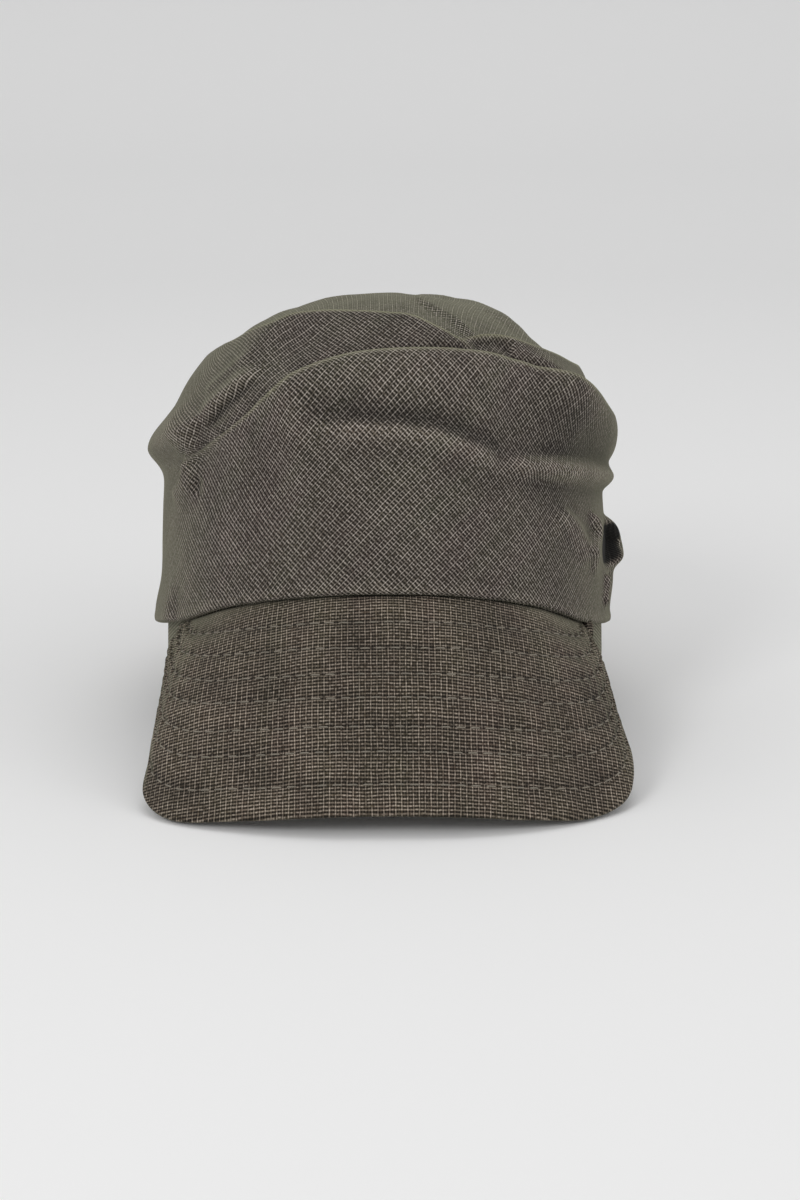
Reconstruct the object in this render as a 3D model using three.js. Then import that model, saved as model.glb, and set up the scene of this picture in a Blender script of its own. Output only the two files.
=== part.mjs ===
// A draped cloth cap with a stitched peak, resting on its back rim and on the peak's two front corners.
// Millimetres and degrees. +Z is up, the peak points to -Y, and the floor is the plane Z = 0.
import * as THREE from "three";

// Head opening and crown
const HEAD_HALF_WIDTH = 81.5;
const HEAD_HALF_LENGTH = 100;
const CROWN_HEIGHT = 140; // rim plane to the tip
const SIDE_WALL_HEIGHT = 76; // where the side wall turns into the dome
const SIDE_WALL_TAPER = 2.5; // how far the side wall leans in on its way up
const CROWN_LEAN = 0.5; // the slack crown hangs over to -X by this much
const CROWN_WALL = 2;
const DOME_FULLNESS = 0.96; // 1 is a plain elliptic dome, less is flatter on top

// Drape, the wide bias-cut wrap round the crown
const DRAPE_WALL = 1.6;
const DRAPE_GAP = 0.6; // between the crown and the drape where they lie close
const HEM_ROLL = 2.4; // how far the rolled hem stands out
const HEM_HEIGHT = 2.9;
const HEM_FOOT = 1; // the roll starts to turn in this far above its lowest line
const TOP_ROUNDING = 1.5; // height over which the top edge is rounded
const TOP_SNUG = 14; // below its top edge, over which the drape comes in to the crown
const FOLD_HEIGHT = 8; // of the front fold, the tallest
const FOLD_REACH = 15; // from the front fold's crest to the foot of its slope in front
const FOLD_BACK = 5; // from its crest back to the foot of its steep side
const TOP_BAND = 10; // at least this much of the drape shows above the front fold

// Peak
const PEAK_HALF_WIDTH = 87;
const PEAK_REACH = 42; // forward of the crown's front
const PEAK_DROP = 45; // below the rim plane, at the corners
const PEAK_ROOT_ANGLE = 63; // the root runs this far round to each side
const PEAK_SWELL = 4; // how far its middle bulges past a straight line from root to edge
const PEAK_SWELL_LEFT = 6.5; // the same on the -X side, which is bent less
const PEAK_UPPER_WALL = 1.5;
const PEAK_UNDER_WALL = 1.5;
const PEAK_GAP = 0.3; // between its two cloths, and to the crown and the hem
const ROOT_SPREAD = 1.6; // the peak slopes, so its layers are this much taller where they meet the wall

const PEAK_SWELL_RISE = 0.55; // the swell points outwards and up by this slope
const PEAK_SWELL_SKEW = 0.7; // below 1 it is highest nearer to the root
const PEAK_SPREAD_SHARE = 0.3; // the share of the peak over which its layers turn from the wall
const PEAK_END = 0.985; // the share of the root at which its two ends are cut

// Where the rim is pressed flat on the floor at the back
const REST_LENGTH = 7;

// The share of the way up from the rim plane to the tip at which the side wall ends
const WALL_SHARE = 0.385;
const MERIDIAN = SIDE_WALL_HEIGHT / WALL_SHARE; // about the length of cloth from rim to tip
const MEAN_RADIUS = (HEAD_HALF_WIDTH + HEAD_HALF_LENGTH) / 2;

// Mesh steps
const CROWN_ROUND_STEPS = 48;
const CROWN_WALL_ROWS = 3;
const CROWN_DOME_ROWS = 9;
const CROWN_INSIDE_ROWS = 6;
const DRAPE_ROUND_STEPS = 80;
const DRAPE_UPPER_ROWS = 6;
const DRAPE_PANEL_ROWS = 14;
const DRAPE_INSIDE_ROWS = 9;
const PEAK_COLUMNS = 38;
const PEAK_ROWS = 8;
const PATH_STEPS = 6; // for each corner of a fold's path
const SLOPE_STEP = 0.01;

// A fold fades to its end height over the last share of its path
const FOLD_FADE = 0.22;
const FOLD_END = 0.12;

// Lines round the cap: the angle runs from the front (0) by the +X side (90) to the back (180).
// share is the share of the way up from the rim plane to the tip.
const RIM_LINE = [
  { angle: -180, share: 0 },
  { angle: -95, share: 0 },
  { angle: -78, share: 0.012 },
  { angle: -60, share: 0.052 },
  { angle: -32, share: 0.1 },
  { angle: 0, share: 0.115 },
  { angle: 32, share: 0.1 },
  { angle: 60, share: 0.052 },
  { angle: 78, share: 0.012 },
  { angle: 95, share: 0 },
];
const HEM_LINE = [
  { angle: -180, share: 0.066 },
  { angle: -90, share: 0.072 },
  { angle: -62, share: 0.086 },
  { angle: -40, share: 0.122 },
  { angle: -20, share: 0.142 },
  { angle: 0, share: 0.149 },
  { angle: 20, share: 0.142 },
  { angle: 40, share: 0.119 },
  { angle: 60, share: 0.082 },
  { angle: 90, share: 0.071 },
];
const FRONT_FOLD_LINE = [
  { angle: -180, share: 0.42 },
  { angle: -110, share: 0.405 },
  { angle: -90, share: 0.39 },
  { angle: -72, share: 0.38 },
  { angle: -55, share: 0.387 },
  { angle: -39, share: 0.443 },
  { angle: -27, share: 0.493 },
  { angle: -20, share: 0.54 },
  { angle: -7, share: 0.578 },
  { angle: 8, share: 0.587 },
  { angle: 24, share: 0.582 },
  { angle: 38, share: 0.56 },
  { angle: 53, share: 0.517 },
  { angle: 68, share: 0.474 },
  { angle: 90, share: 0.45 },
  { angle: 120, share: 0.43 },
];
const TOP_LINE = [
  { angle: -180, share: 0.62 },
  { angle: -100, share: 0.62 },
  { angle: -67, share: 0.668 },
  { angle: -53, share: 0.69 },
  { angle: -41, share: 0.702 },
  { angle: -33, share: 0.727 },
  { angle: -22, share: 0.734 },
  { angle: -9, share: 0.731 },
  { angle: 5, share: 0.724 },
  { angle: 11, share: 0.709 },
  { angle: 17, share: 0.683 },
  { angle: 24, share: 0.668 },
  { angle: 35, share: 0.671 },
  { angle: 42, share: 0.664 },
  { angle: 49, share: 0.649 },
  { angle: 58, share: 0.627 },
  { angle: 74, share: 0.605 },
  { angle: 100, share: 0.6 },
  { angle: 130, share: 0.605 },
];

// Broad slack places of the drape, hollow behind: path of [angle, share], then lift as a share of
// FOLD_HEIGHT, and the widths left and right of someone who walks along the path, as shares of FOLD_REACH.
const BULGES = [
  { path: [[-52, 0.47], [-70, 0.43], [-90, 0.408], [-118, 0.4]], lift: 0.88, left: 0.47, right: 0.87 },
  { path: [[40, 0.56], [58, 0.5], [80, 0.44], [112, 0.4]], lift: 0.81, left: 1.2, right: 0.73 },
  { path: [[80, 0.17], [92, 0.17], [110, 0.19]], lift: 0.31, left: 0.93, right: 0.93 },
  { path: [[-34, 0.48], [0, 0.52], [34, 0.51]], lift: 0.44, left: 1.07, right: 1.6 },
  { path: [[-170, 0.3], [-140, 0.35], [-115, 0.36]], lift: 0.5, left: 1.2, right: 1.47 },
  { path: [[125, 0.45], [150, 0.4], [178, 0.33]], lift: 0.5, left: 1.2, right: 1.33 },
];
// Gathered folds that stand on it: the front fold, the two top edges, then the smaller ones
const FOLDS = [
  { path: [[-55, 0.387], [-39, 0.443], [-27, 0.493], [-20, 0.54], [-7, 0.578], [8, 0.587],
    [24, 0.582], [38, 0.56], [53, 0.517], [68, 0.474], [90, 0.45]], lift: 1, left: 0.16, right: 1 },
  { path: [[-67, 0.658], [-53, 0.68], [-41, 0.691], [-33, 0.717], [-22, 0.724], [-9, 0.721],
    [5, 0.714], [11, 0.699], [17, 0.671], [23, 0.653], [27, 0.628]], lift: 0.56, left: 0.16, right: 0.73 },
  { path: [[22, 0.643], [28, 0.657], [35, 0.66], [42, 0.654], [49, 0.639], [58, 0.617],
    [74, 0.595], [90, 0.588], [112, 0.58]], lift: 0.5, left: 0.16, right: 0.6 },
  { path: [[-37, 0.592], [-40, 0.561], [-44, 0.531], [-49, 0.493], [-52, 0.454], [-57, 0.414],
    [-67, 0.387]], lift: 0.44, left: 0.23, right: 0.53 },
  { path: [[-41, 0.624], [-47, 0.595], [-53, 0.554], [-56, 0.529]], lift: 0.17, left: 0.27, right: 0.27 },
  { path: [[-18, 0.445], [-4, 0.445], [11, 0.433], [21, 0.404], [29, 0.37]],
    lift: 0.33, left: 0.3, right: 0.43 },
  { path: [[28, 0.372], [35, 0.374], [41, 0.372], [52, 0.366], [66, 0.358], [80, 0.35],
    [88, 0.344]], lift: 0.56, left: 0.28, right: 0.31 },
  { path: [[48, 0.311], [51, 0.284], [55, 0.256], [59, 0.225], [63, 0.194]],
    lift: 0.33, left: 0.23, right: 0.6 },
  { path: [[-59, 0.392], [-57, 0.368], [-60, 0.338], [-69, 0.318]], lift: 0.38, left: 0.47, right: 0.2 },
  { path: [[62, 0.3], [66, 0.27], [66, 0.24], [63, 0.218], [67, 0.17]],
    lift: 0.45, left: 0.2, right: 0.27 },
  { path: [[69, 0.264], [78, 0.257], [85, 0.242], [86, 0.222], [80, 0.2], [71, 0.184]],
    lift: 0.62, left: 0.23, right: 0.21 },
  { path: [[76, 0.17], [75, 0.14], [72, 0.105]], lift: 0.33, left: 0.21, right: 0.21 },
  { path: [[-62, 0.1], [-80, 0.095], [-104, 0.09]], lift: 0.3, left: 0.53, right: 0.6 },
  { path: [[-165, 0.5], [-130, 0.53], [-100, 0.5]], lift: 0.31, left: 0.47, right: 0.8 },
  { path: [[110, 0.3], [140, 0.27], [170, 0.2]], lift: 0.31, left: 0.47, right: 0.8 },
];
// Hollows pressed into it, down to the crown at the side pocket
const HOLLOWS = [
  { path: [[71, 0.252], [76, 0.237], [75, 0.218], [70, 0.2]], lift: -1.25, left: 0.27, right: 0.27 },
  { path: [[-36, 0.559], [-41, 0.529], [-46, 0.492], [-52, 0.453], [-56, 0.414]],
    lift: -0.4, left: 0.2, right: 0.21 },
  { path: [[-30, 0.58], [-14, 0.597], [5, 0.613], [22, 0.613], [36, 0.603], [52, 0.565],
    [66, 0.53]], lift: -0.33, left: 0.2, right: 0.23 },
  { path: [[27, 0.636], [36, 0.637], [42, 0.616]], lift: -0.38, left: 0.27, right: 0.27 },
  { path: [[35, 0.327], [48, 0.321], [60, 0.314], [76, 0.308], [92, 0.3]],
    lift: -0.5, left: 0.27, right: 0.33 },
  { path: [[-13, 0.47], [-2, 0.472], [10, 0.465], [20, 0.445], [30, 0.413], [41, 0.407],
    [55, 0.401]], lift: -0.17, left: 0.47, right: 0.33 },
  { path: [[-52, 0.356], [-53, 0.32]], lift: -0.17, left: 0.2, right: 0.2 },
];
// A soft crease across the crown's tip
const CROWN_CREASES = [
  { path: [[70, 0.86], [56, 0.79], [45, 0.74], [36, 0.7]], lift: 0.38, left: 0.53, right: 0.33 },
];

// One half of the peak's outer edge, from its middle to the end of its root. across (acrossLeft on the
// -X side), forward and down are shares of the half width, of the length to the front and of the drop;
// root is a share of the root's angle.
const PEAK_EDGE = [
  { across: 0, acrossLeft: 0, forward: 1, down: 0.935, root: 0 },
  { across: 0.29, acrossLeft: 0.29, forward: 0.994, down: 0.95, root: 0.22 },
  { across: 0.57, acrossLeft: 0.58, forward: 0.955, down: 0.985, root: 0.43 },
  { across: 0.81, acrossLeft: 0.86, forward: 0.885, down: 1, root: 0.62 },
  { across: 0.96, acrossLeft: 0.965, forward: 0.805, down: 0.88, root: 0.75 },
  { across: 0.985, acrossLeft: 0.955, forward: 0.7, down: 0.62, root: 0.85 },
  { across: 0.925, acrossLeft: 0.925, forward: 0.572, down: 0.3, root: 0.92 },
  { across: 0.88, acrossLeft: 0.89, forward: 0.445, down: 0, root: 0.965 },
  { across: 0.85, acrossLeft: 0.86, forward: 0.36, down: -0.3, root: 1 },
];

const RADIANS = Math.PI / 180;
const clamp = THREE.MathUtils.clamp;

// The value of a round table at an angle, by a smooth curve through its rows.
function aroundTable(table, angle) {
  const turn = ((((angle + 180) % 360) + 360) % 360) - 180;
  const count = table.length;
  const row = (i) => {
    const wrapped = ((i % count) + count) % count;
    return { at: table[wrapped].angle + 360 * Math.floor(i / count), value: table[wrapped].share };
  };
  let k = count - 1;
  while (k > 0 && table[k].angle > turn) k -= 1;
  const [p, a, b, q] = [row(k - 1), row(k), row(k + 1), row(k + 2)];
  const span = b.at - a.at;
  const t = (turn - a.at) / span;
  const slopeA = ((b.value - p.value) / (b.at - p.at)) * span;
  const slopeB = ((q.value - a.value) / (q.at - a.at)) * span;
  const t2 = t * t;
  const t3 = t2 * t;
  return (2 * t3 - 3 * t2 + 1) * a.value + (t3 - 2 * t2 + t) * slopeA
    + (3 * t2 - 2 * t3) * b.value + (t3 - t2) * slopeB;
}

// A fold's path as fine points on the unrolled cloth, in mm.
function unrolledPath(fold) {
  const corners = fold.path.map(([angle, share]) =>
    new THREE.Vector2(angle * RADIANS * MEAN_RADIUS, share * MERIDIAN));
  return new THREE.SplineCurve(corners).getPoints(PATH_STEPS * corners.length);
}
for (const fold of [...BULGES, ...FOLDS, ...HOLLOWS, ...CROWN_CREASES]) fold.points = unrolledPath(fold);

// How far one fold lifts the cloth at an angle and share: full along its path, fading to both sides
// by a bell curve and towards its two ends.
function foldLift(fold, angle, share) {
  const x = angle * RADIANS * MEAN_RADIUS;
  const y = share * MERIDIAN;
  const last = fold.points.length - 1;
  let best = { distance: Infinity, side: 1, along: 0 };
  for (let i = 0; i < last; i += 1) {
    const a = fold.points[i];
    const dx = fold.points[i + 1].x - a.x;
    const dy = fold.points[i + 1].y - a.y;
    const t = clamp(((x - a.x) * dx + (y - a.y) * dy) / (dx * dx + dy * dy), 0, 1);
    const ox = x - a.x - t * dx;
    const oy = y - a.y - t * dy;
    const distance = Math.hypot(ox, oy);
    if (distance < best.distance) best = { distance, side: dx * oy - dy * ox, along: (i + t) / last };
  }
  const width = (best.side > 0 ? fold.left : fold.right) * FOLD_REACH;
  const fade = THREE.MathUtils.smoothstep(Math.min(best.along, 1 - best.along), 0, FOLD_FADE);
  const height = fold.lift * FOLD_HEIGHT * THREE.MathUtils.lerp(FOLD_END, 1, fade);
  return height * Math.exp(-((best.distance / width) ** 2));
}

// The lift of a list of folds, which also reach across the back of the cap.
function liftOf(folds, angle, share) {
  let sum = 0;
  for (const fold of folds) {
    for (const turn of [-360, 0, 360]) sum += foldLift(fold, angle + turn, share);
  }
  return sum;
}

// A point above the crown's plain form, out mm from it, before the cap is laid down.
function overCrown(angle, share, out) {
  const climb = clamp((share - WALL_SHARE) / (1 - WALL_SHARE), 0, 1) * 90 * RADIANS;
  const up = clamp(share / WALL_SHARE, 0, 1);
  const inset = SIDE_WALL_TAPER * up * up;
  const halfWidth = HEAD_HALF_WIDTH + CROWN_WALL - inset + out;
  const halfLength = HEAD_HALF_LENGTH + CROWN_WALL - inset + out;
  const domeHeight = CROWN_HEIGHT - SIDE_WALL_HEIGHT + out;
  const girth = Math.max(0, Math.cos(climb)) ** DOME_FULLNESS;
  return new THREE.Vector3(
    halfWidth * girth * Math.sin(angle * RADIANS) - CROWN_LEAN * up * up,
    -halfLength * girth * Math.cos(angle * RADIANS),
    SIDE_WALL_HEIGHT * up + domeHeight * Math.sin(climb),
  );
}

// The peak's top surface: across runs from -1 to 1 and down from 0 at the root to 1 at the edge.
const edgeCurve = (column, side) => new THREE.CatmullRomCurve3(
  PEAK_EDGE.map((row) => new THREE.Vector3(
    side * row[column] * PEAK_HALF_WIDTH,
    -row.forward * (HEAD_HALF_LENGTH + CROWN_WALL + PEAK_REACH),
    -row.down * PEAK_DROP,
  )),
);
const RIGHT_EDGE = edgeCurve("across", 1);
const LEFT_EDGE = edgeCurve("acrossLeft", -1);
const ROOT_SHARES = new THREE.CatmullRomCurve3(PEAK_EDGE.map((row) => new THREE.Vector3(row.root, 0, 0)));

// The root under the hem. Deeper layers of the peak start lower down the crown's wall.
function rootPoint(across, depth) {
  const angle = Math.sign(across) * ROOT_SHARES.getPoint(Math.abs(across)).x * PEAK_ROOT_ANGLE;
  const share = aroundTable(HEM_LINE, angle) - (PEAK_GAP + ROOT_SPREAD * depth) / MERIDIAN;
  return overCrown(angle, share, PEAK_GAP);
}

function peakPoint(across, down) {
  const side = across < 0 ? -1 : 1;
  const t = Math.abs(across);
  const root = rootPoint(across, 0);
  const edge = (side < 0 ? LEFT_EDGE : RIGHT_EDGE).getPoint(t);
  const length = root.distanceTo(edge);
  const fullSwell = THREE.MathUtils.lerp(PEAK_SWELL, PEAK_SWELL_LEFT, Math.max(0, -across));
  const swell = fullSwell * Math.min(1, length / PEAK_DROP) * Math.sin(Math.PI * down ** PEAK_SWELL_SKEW);
  const outward = new THREE.Vector3(root.x, root.y, 0).normalize();
  outward.z = PEAK_SWELL_RISE;
  return root.lerp(edge, down).addScaledVector(outward.normalize(), swell);
}

function peakNormal(across, down) {
  const low = Math.max(down - SLOPE_STEP, 0);
  const high = Math.min(down + SLOPE_STEP, 1);
  const left = Math.max(across - SLOPE_STEP, -1);
  const right = Math.min(across + SLOPE_STEP, 1);
  const alongDown = peakPoint(across, high).sub(peakPoint(across, low));
  const alongAcross = peakPoint(right, down).sub(peakPoint(left, down));
  return alongDown.cross(alongAcross).normalize();
}

// A point of the peak at a depth below its top surface. Near the root the layers spread down the wall.
function peakLayerPoint(across, down, depth) {
  const top = peakPoint(across, down);
  const atRoot = rootPoint(across, depth).sub(rootPoint(across, 0));
  const inward = peakNormal(across, down).multiplyScalar(-depth);
  return top.add(atRoot.lerp(inward, THREE.MathUtils.smoothstep(down, 0, PEAK_SPREAD_SHARE)));
}

// The cap is laid down about its back rim until the peak's lowest corners meet the floor.
const REST_LINE = HEAD_HALF_LENGTH + CROWN_WALL - REST_LENGTH;
const PEAK_THICKNESS = PEAK_UPPER_WALL + PEAK_GAP + PEAK_UNDER_WALL;
let restSlope = 0;
for (let i = 0; i <= PEAK_COLUMNS; i += 1) {
  const foot = peakLayerPoint((2 * i) / PEAK_COLUMNS - 1, 1, PEAK_THICKNESS);
  restSlope = Math.max(restSlope, foot.z / (foot.y - REST_LINE));
}
const REST_TILT = Math.atan(restSlope);

function laidDown(point) {
  const cos = Math.cos(REST_TILT);
  const sin = Math.sin(REST_TILT);
  return new THREE.Vector3(
    point.x,
    point.y * cos + point.z * sin,
    Math.max(0, point.z * cos - (point.y - REST_LINE) * sin),
  );
}

// A closed body from rows of points. A ring of rows that closes on itself is a hollow band; rows that
// start and end at one point each are a hollow dome; rows with open ends are capped.
function bodyFromRows(rows, { rowsClose = false, columnsClose = true } = {}) {
  const positions = [];
  const starts = [];
  for (const row of rows) {
    starts.push(positions.length / 3);
    for (const point of row) positions.push(point.x, point.y, point.z);
  }
  const index = [];
  const vertex = (r, c) => starts[r] + (rows[r].length === 1 ? 0 : c % rows[r].length);
  const add = (a, b, c) => {
    if (a !== b && b !== c && c !== a) index.push(a, b, c);
  };
  const columns = Math.max(...rows.map((row) => row.length));
  const bands = rowsClose ? rows.length : rows.length - 1;
  for (let r = 0; r < bands; r += 1) {
    const next = (r + 1) % rows.length;
    for (let c = 0; c < (columnsClose ? columns : columns - 1); c += 1) {
      add(vertex(r, c), vertex(next, c), vertex(next, c + 1));
      add(vertex(r, c), vertex(next, c + 1), vertex(r, c + 1));
    }
  }
  if (!columnsClose) {
    const half = rows.length / 2;
    for (let r = 0; r < half - 1; r += 1) {
      const [top, nextTop] = [r, r + 1];
      const [bottom, nextBottom] = [rows.length - 1 - r, rows.length - 2 - r];
      const end = columns - 1;
      add(vertex(top, end), vertex(nextTop, end), vertex(nextBottom, end));
      add(vertex(top, end), vertex(nextBottom, end), vertex(bottom, end));
      add(vertex(top, 0), vertex(nextBottom, 0), vertex(nextTop, 0));
      add(vertex(top, 0), vertex(bottom, 0), vertex(nextBottom, 0));
    }
  }
  const geometry = new THREE.BufferGeometry();
  geometry.setAttribute("position", new THREE.Float32BufferAttribute(positions, 3));
  geometry.setIndex(index);
  geometry.computeVertexNormals();
  return geometry;
}

const steps = (count) => Array.from({ length: count + 1 }, (_, i) => i / count);

// A row of points round the cap, laid down.
function ring(count, pointAt) {
  return Array.from({ length: count }, (_, i) => laidDown(pointAt((360 * i) / count - 180)));
}

// Crown: outside from the tip down to the rim, then inside back up.
function crownBody() {
  const crease = (angle, share) => liftOf(CROWN_CREASES, angle, share);
  const domePoint = (angle, t, out) => {
    const share = THREE.MathUtils.lerp(1, WALL_SHARE, t);
    return overCrown(angle, share, out + crease(angle, share));
  };
  const wallPoint = (angle, t, out) =>
    overCrown(angle, THREE.MathUtils.lerp(WALL_SHARE, aroundTable(RIM_LINE, angle), t), out);
  const side = (domeRows, wallRows, out) => [
    ...steps(domeRows).slice(1).map((t) => ring(CROWN_ROUND_STEPS, (angle) => domePoint(angle, t, out))),
    ...steps(wallRows).slice(1).map((t) => ring(CROWN_ROUND_STEPS, (angle) => wallPoint(angle, t, out))),
  ];
  const outside = side(CROWN_DOME_ROWS, CROWN_WALL_ROWS, 0);
  const inside = side(CROWN_INSIDE_ROWS, CROWN_WALL_ROWS, -CROWN_WALL);
  const tip = (out) => [laidDown(domePoint(0, 0, out))];
  return bodyFromRows([tip(0), ...outside, ...inside.reverse(), tip(-CROWN_WALL)]);
}

// Drape: its slack places lie down on the crown towards its top edge.
function slackOf(angle, share) {
  const belowTop = (aroundTable(TOP_LINE, angle) - share) * MERIDIAN;
  return liftOf(BULGES, angle, share) * THREE.MathUtils.smoothstep(belowTop, 0, TOP_SNUG);
}

// How far the drape's outside stands off the crown.
function drapeOut(angle, share) {
  const slack = slackOf(angle, share);
  const gathers = liftOf(FOLDS, angle, share);
  const hollows = liftOf(HOLLOWS, angle, share);
  const closest = DRAPE_GAP + DRAPE_WALL + liftOf(CROWN_CREASES, angle, share);
  return closest + Math.max(0, slack + gathers + hollows);
}

// The inside follows the slack places, and never comes nearer to the outside than the wall.
function drapeIn(angle, share) {
  const nearest = DRAPE_GAP + liftOf(CROWN_CREASES, angle, share);
  const slack = nearest + slackOf(angle, share);
  return Math.max(nearest, Math.min(slack, drapeOut(angle, share) - DRAPE_WALL));
}

function drapeBody() {
  const mm = (length) => length / MERIDIAN;
  const hem = (angle) => aroundTable(HEM_LINE, angle);
  const top = (angle) => aroundTable(TOP_LINE, angle);
  const fold = (angle) => Math.min(aroundTable(FRONT_FOLD_LINE, angle), top(angle) - mm(TOP_BAND));
  const between = (from, to, t) => (angle) => THREE.MathUtils.lerp(from(angle), to(angle), t);
  const row = (shareAt, outAt) => ring(DRAPE_ROUND_STEPS, (angle) =>
    overCrown(angle, shareAt(angle), outAt(angle, shareAt(angle))));
  const outerRow = (shareAt, extra) => row(shareAt, (angle, share) => drapeOut(angle, share) + extra);
  const aboveFold = (angle) => fold(angle) + mm(FOLD_BACK);
  const belowTop = (angle) => top(angle) - mm(TOP_ROUNDING);
  const rollTop = (angle) => hem(angle) + mm(HEM_HEIGHT);
  const outer = [
    ...steps(DRAPE_UPPER_ROWS).map((t) => outerRow(between(belowTop, aboveFold, t), 0)),
    outerRow((angle) => fold(angle) + mm(FOLD_BACK / 2), 0),
    ...steps(DRAPE_PANEL_ROWS).slice(0, -1).map((t) => outerRow(between(fold, rollTop, t), 0)),
    outerRow(rollTop, HEM_ROLL / 2),
    outerRow((angle) => hem(angle) + mm(HEM_FOOT), HEM_ROLL / 2),
  ];
  const underHem = row(hem, (angle, share) => drapeOut(angle, share) - DRAPE_WALL / 3);
  const inner = steps(DRAPE_INSIDE_ROWS).map((t) => row(between(hem, belowTop, t), drapeIn));
  const topEdge = row(top, (angle, share) => drapeIn(angle, share) + DRAPE_WALL / 2);
  return bodyFromRows([topEdge, ...outer, underHem, ...inner], { rowsClose: true });
}

// One cloth of the peak, between two depths below the peak's top surface.
function peakCloth(nearDepth, farDepth) {
  const acrosses = steps(PEAK_COLUMNS).map((t) => PEAK_END * (2 * t - 1));
  const downs = steps(PEAK_ROWS);
  const row = (down, depth) => acrosses.map((across) => laidDown(peakLayerPoint(across, down, depth)));
  const face = (depth) => downs.map((down) => row(down, depth));
  const rows = [...face(nearDepth), ...face(farDepth).reverse()];
  return bodyFromRows(rows, { rowsClose: true, columnsClose: false });
}

function cloth(name, geometry, color) {
  const matt = new THREE.MeshStandardMaterial({ color, roughness: 0.95, metalness: 0 });
  const mesh = new THREE.Mesh(geometry, matt);
  mesh.name = name;
  return mesh;
}

const cap = new THREE.Group();
cap.add(
  cloth("crown", crownBody(), 0x5a5850),
  cloth("drape", drapeBody(), 0x565046),
  cloth("peak_upper", peakCloth(0, PEAK_UPPER_WALL), 0x504a42),
  cloth("peak_underside", peakCloth(PEAK_UPPER_WALL + PEAK_GAP, PEAK_THICKNESS), 0x3e3a34),
);

// The origin is on the floor, under the middle of the whole cap.
const box = new THREE.Box3().setFromObject(cap);
cap.position.set(-(box.min.x + box.max.x) / 2, -(box.min.y + box.max.y) / 2, 0);
const group = new THREE.Group();
group.add(cap);

export default group;
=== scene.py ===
# %% [markdown]
# # A draped cloth cap
#
# The cap is made of one heavy, uneven cloth: a soft crown, a wide drape wrapped round it on the bias
# and gathered into folds, and a stitched peak of two cloths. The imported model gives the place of
# every piece. This lesson makes each piece again as a fine surface in that place, with its folds,
# weave and stitches.

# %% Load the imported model
import bpy
import numpy as np
from mathutils import Matrix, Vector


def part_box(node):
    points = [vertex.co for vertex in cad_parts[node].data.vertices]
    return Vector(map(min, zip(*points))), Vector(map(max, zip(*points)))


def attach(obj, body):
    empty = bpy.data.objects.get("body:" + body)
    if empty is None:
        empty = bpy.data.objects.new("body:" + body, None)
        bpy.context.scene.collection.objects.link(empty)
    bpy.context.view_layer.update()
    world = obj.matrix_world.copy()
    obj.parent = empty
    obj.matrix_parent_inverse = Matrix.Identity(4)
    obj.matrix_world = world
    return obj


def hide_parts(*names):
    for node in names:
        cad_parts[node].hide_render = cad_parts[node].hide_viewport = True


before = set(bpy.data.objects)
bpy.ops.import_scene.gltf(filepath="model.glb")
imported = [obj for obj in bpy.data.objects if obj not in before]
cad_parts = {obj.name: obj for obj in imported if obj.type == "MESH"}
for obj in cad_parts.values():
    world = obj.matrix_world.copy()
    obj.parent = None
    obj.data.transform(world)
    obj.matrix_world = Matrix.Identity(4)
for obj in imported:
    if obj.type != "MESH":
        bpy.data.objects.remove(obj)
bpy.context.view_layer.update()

# %% [markdown]
# ## Camera
#
# The cap is seen from the front and a little above, from about a metre away, so that the peak's
# underside is hidden and the crown's tip just shows over the drape. The frame is upright, 800 wide
# and 1200 high, so the lens is tied to the frame's height.

# %% Camera
CAMERA_PLACE = np.array([-0.0062, -0.9497, 0.3013])
CAMERA_LOOK = np.array([0.0118, 0.9658, -0.2588])
FOCAL_LENGTH = 77.9
FRAME_HEIGHT = 36.0


def turn_towards(look):
    """Rotation whose local -Z runs along the look and whose local +Y leans to world up."""
    back = -look / np.linalg.norm(look)
    right = np.cross([0.0, 0.0, 1.0], back)
    right /= np.linalg.norm(right)
    return np.column_stack([right, np.cross(back, right), back])


def place(thing, position, look):
    """Puts a camera or a lamp at a position, looking along a direction."""
    matrix = np.eye(4)
    matrix[:3, :3] = turn_towards(np.asarray(look, float))
    matrix[:3, 3] = position
    thing.matrix_world = Matrix(matrix.tolist())
    bpy.context.scene.collection.objects.link(thing)


lens = bpy.data.cameras.new("camera")
lens.sensor_fit = "VERTICAL"
lens.sensor_height = FRAME_HEIGHT
lens.lens = FOCAL_LENGTH
camera = bpy.data.objects.new("camera", lens)
place(camera, CAMERA_PLACE, CAMERA_LOOK)
bpy.context.scene.camera = camera
print("camera at", CAMERA_PLACE, "looking along", CAMERA_LOOK)

# %% [markdown]
# ## The cap's plain form
#
# Every piece follows one plain form: an oval side wall that leans in a little and turns into a dome.
# A place on it is an angle, from the front (0) by the wearer's left (90) to the back (180), and a
# share of the way up from the rim to the tip. A fold is only a change of how far the cloth stands out.

# %% Sizes, in millimetres
HEAD_HALF_WIDTH = 81.5
HEAD_HALF_LENGTH = 100.0
CROWN_HEIGHT = 140.0
SIDE_WALL_HEIGHT = 76.0
SIDE_WALL_TAPER = 2.5
CROWN_LEAN = 0.5
CROWN_WALL = 2.0
DOME_FULLNESS = 0.96
WALL_SHARE = 0.385
MERIDIAN = SIDE_WALL_HEIGHT / WALL_SHARE
MEAN_RADIUS = (HEAD_HALF_WIDTH + HEAD_HALF_LENGTH) / 2
MM = 0.001

# %% The plain form
def smoothstep(value, low, high):
    """0 below low, 1 above high, and 3t^2 - 2t^3 between."""
    t = np.clip((value - low) / (high - low), 0, 1)
    return t * t * (3 - 2 * t)


def length_of(vectors):
    return np.linalg.norm(vectors, axis=-1)


def unit(vectors):
    return vectors / length_of(vectors)[..., None]


def running(steps, axis=0):
    """The running sum of steps along an axis, starting at 0."""
    start = np.zeros_like(np.take(steps, [0], axis))
    return np.concatenate([start, np.cumsum(steps, axis)], axis)


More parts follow.
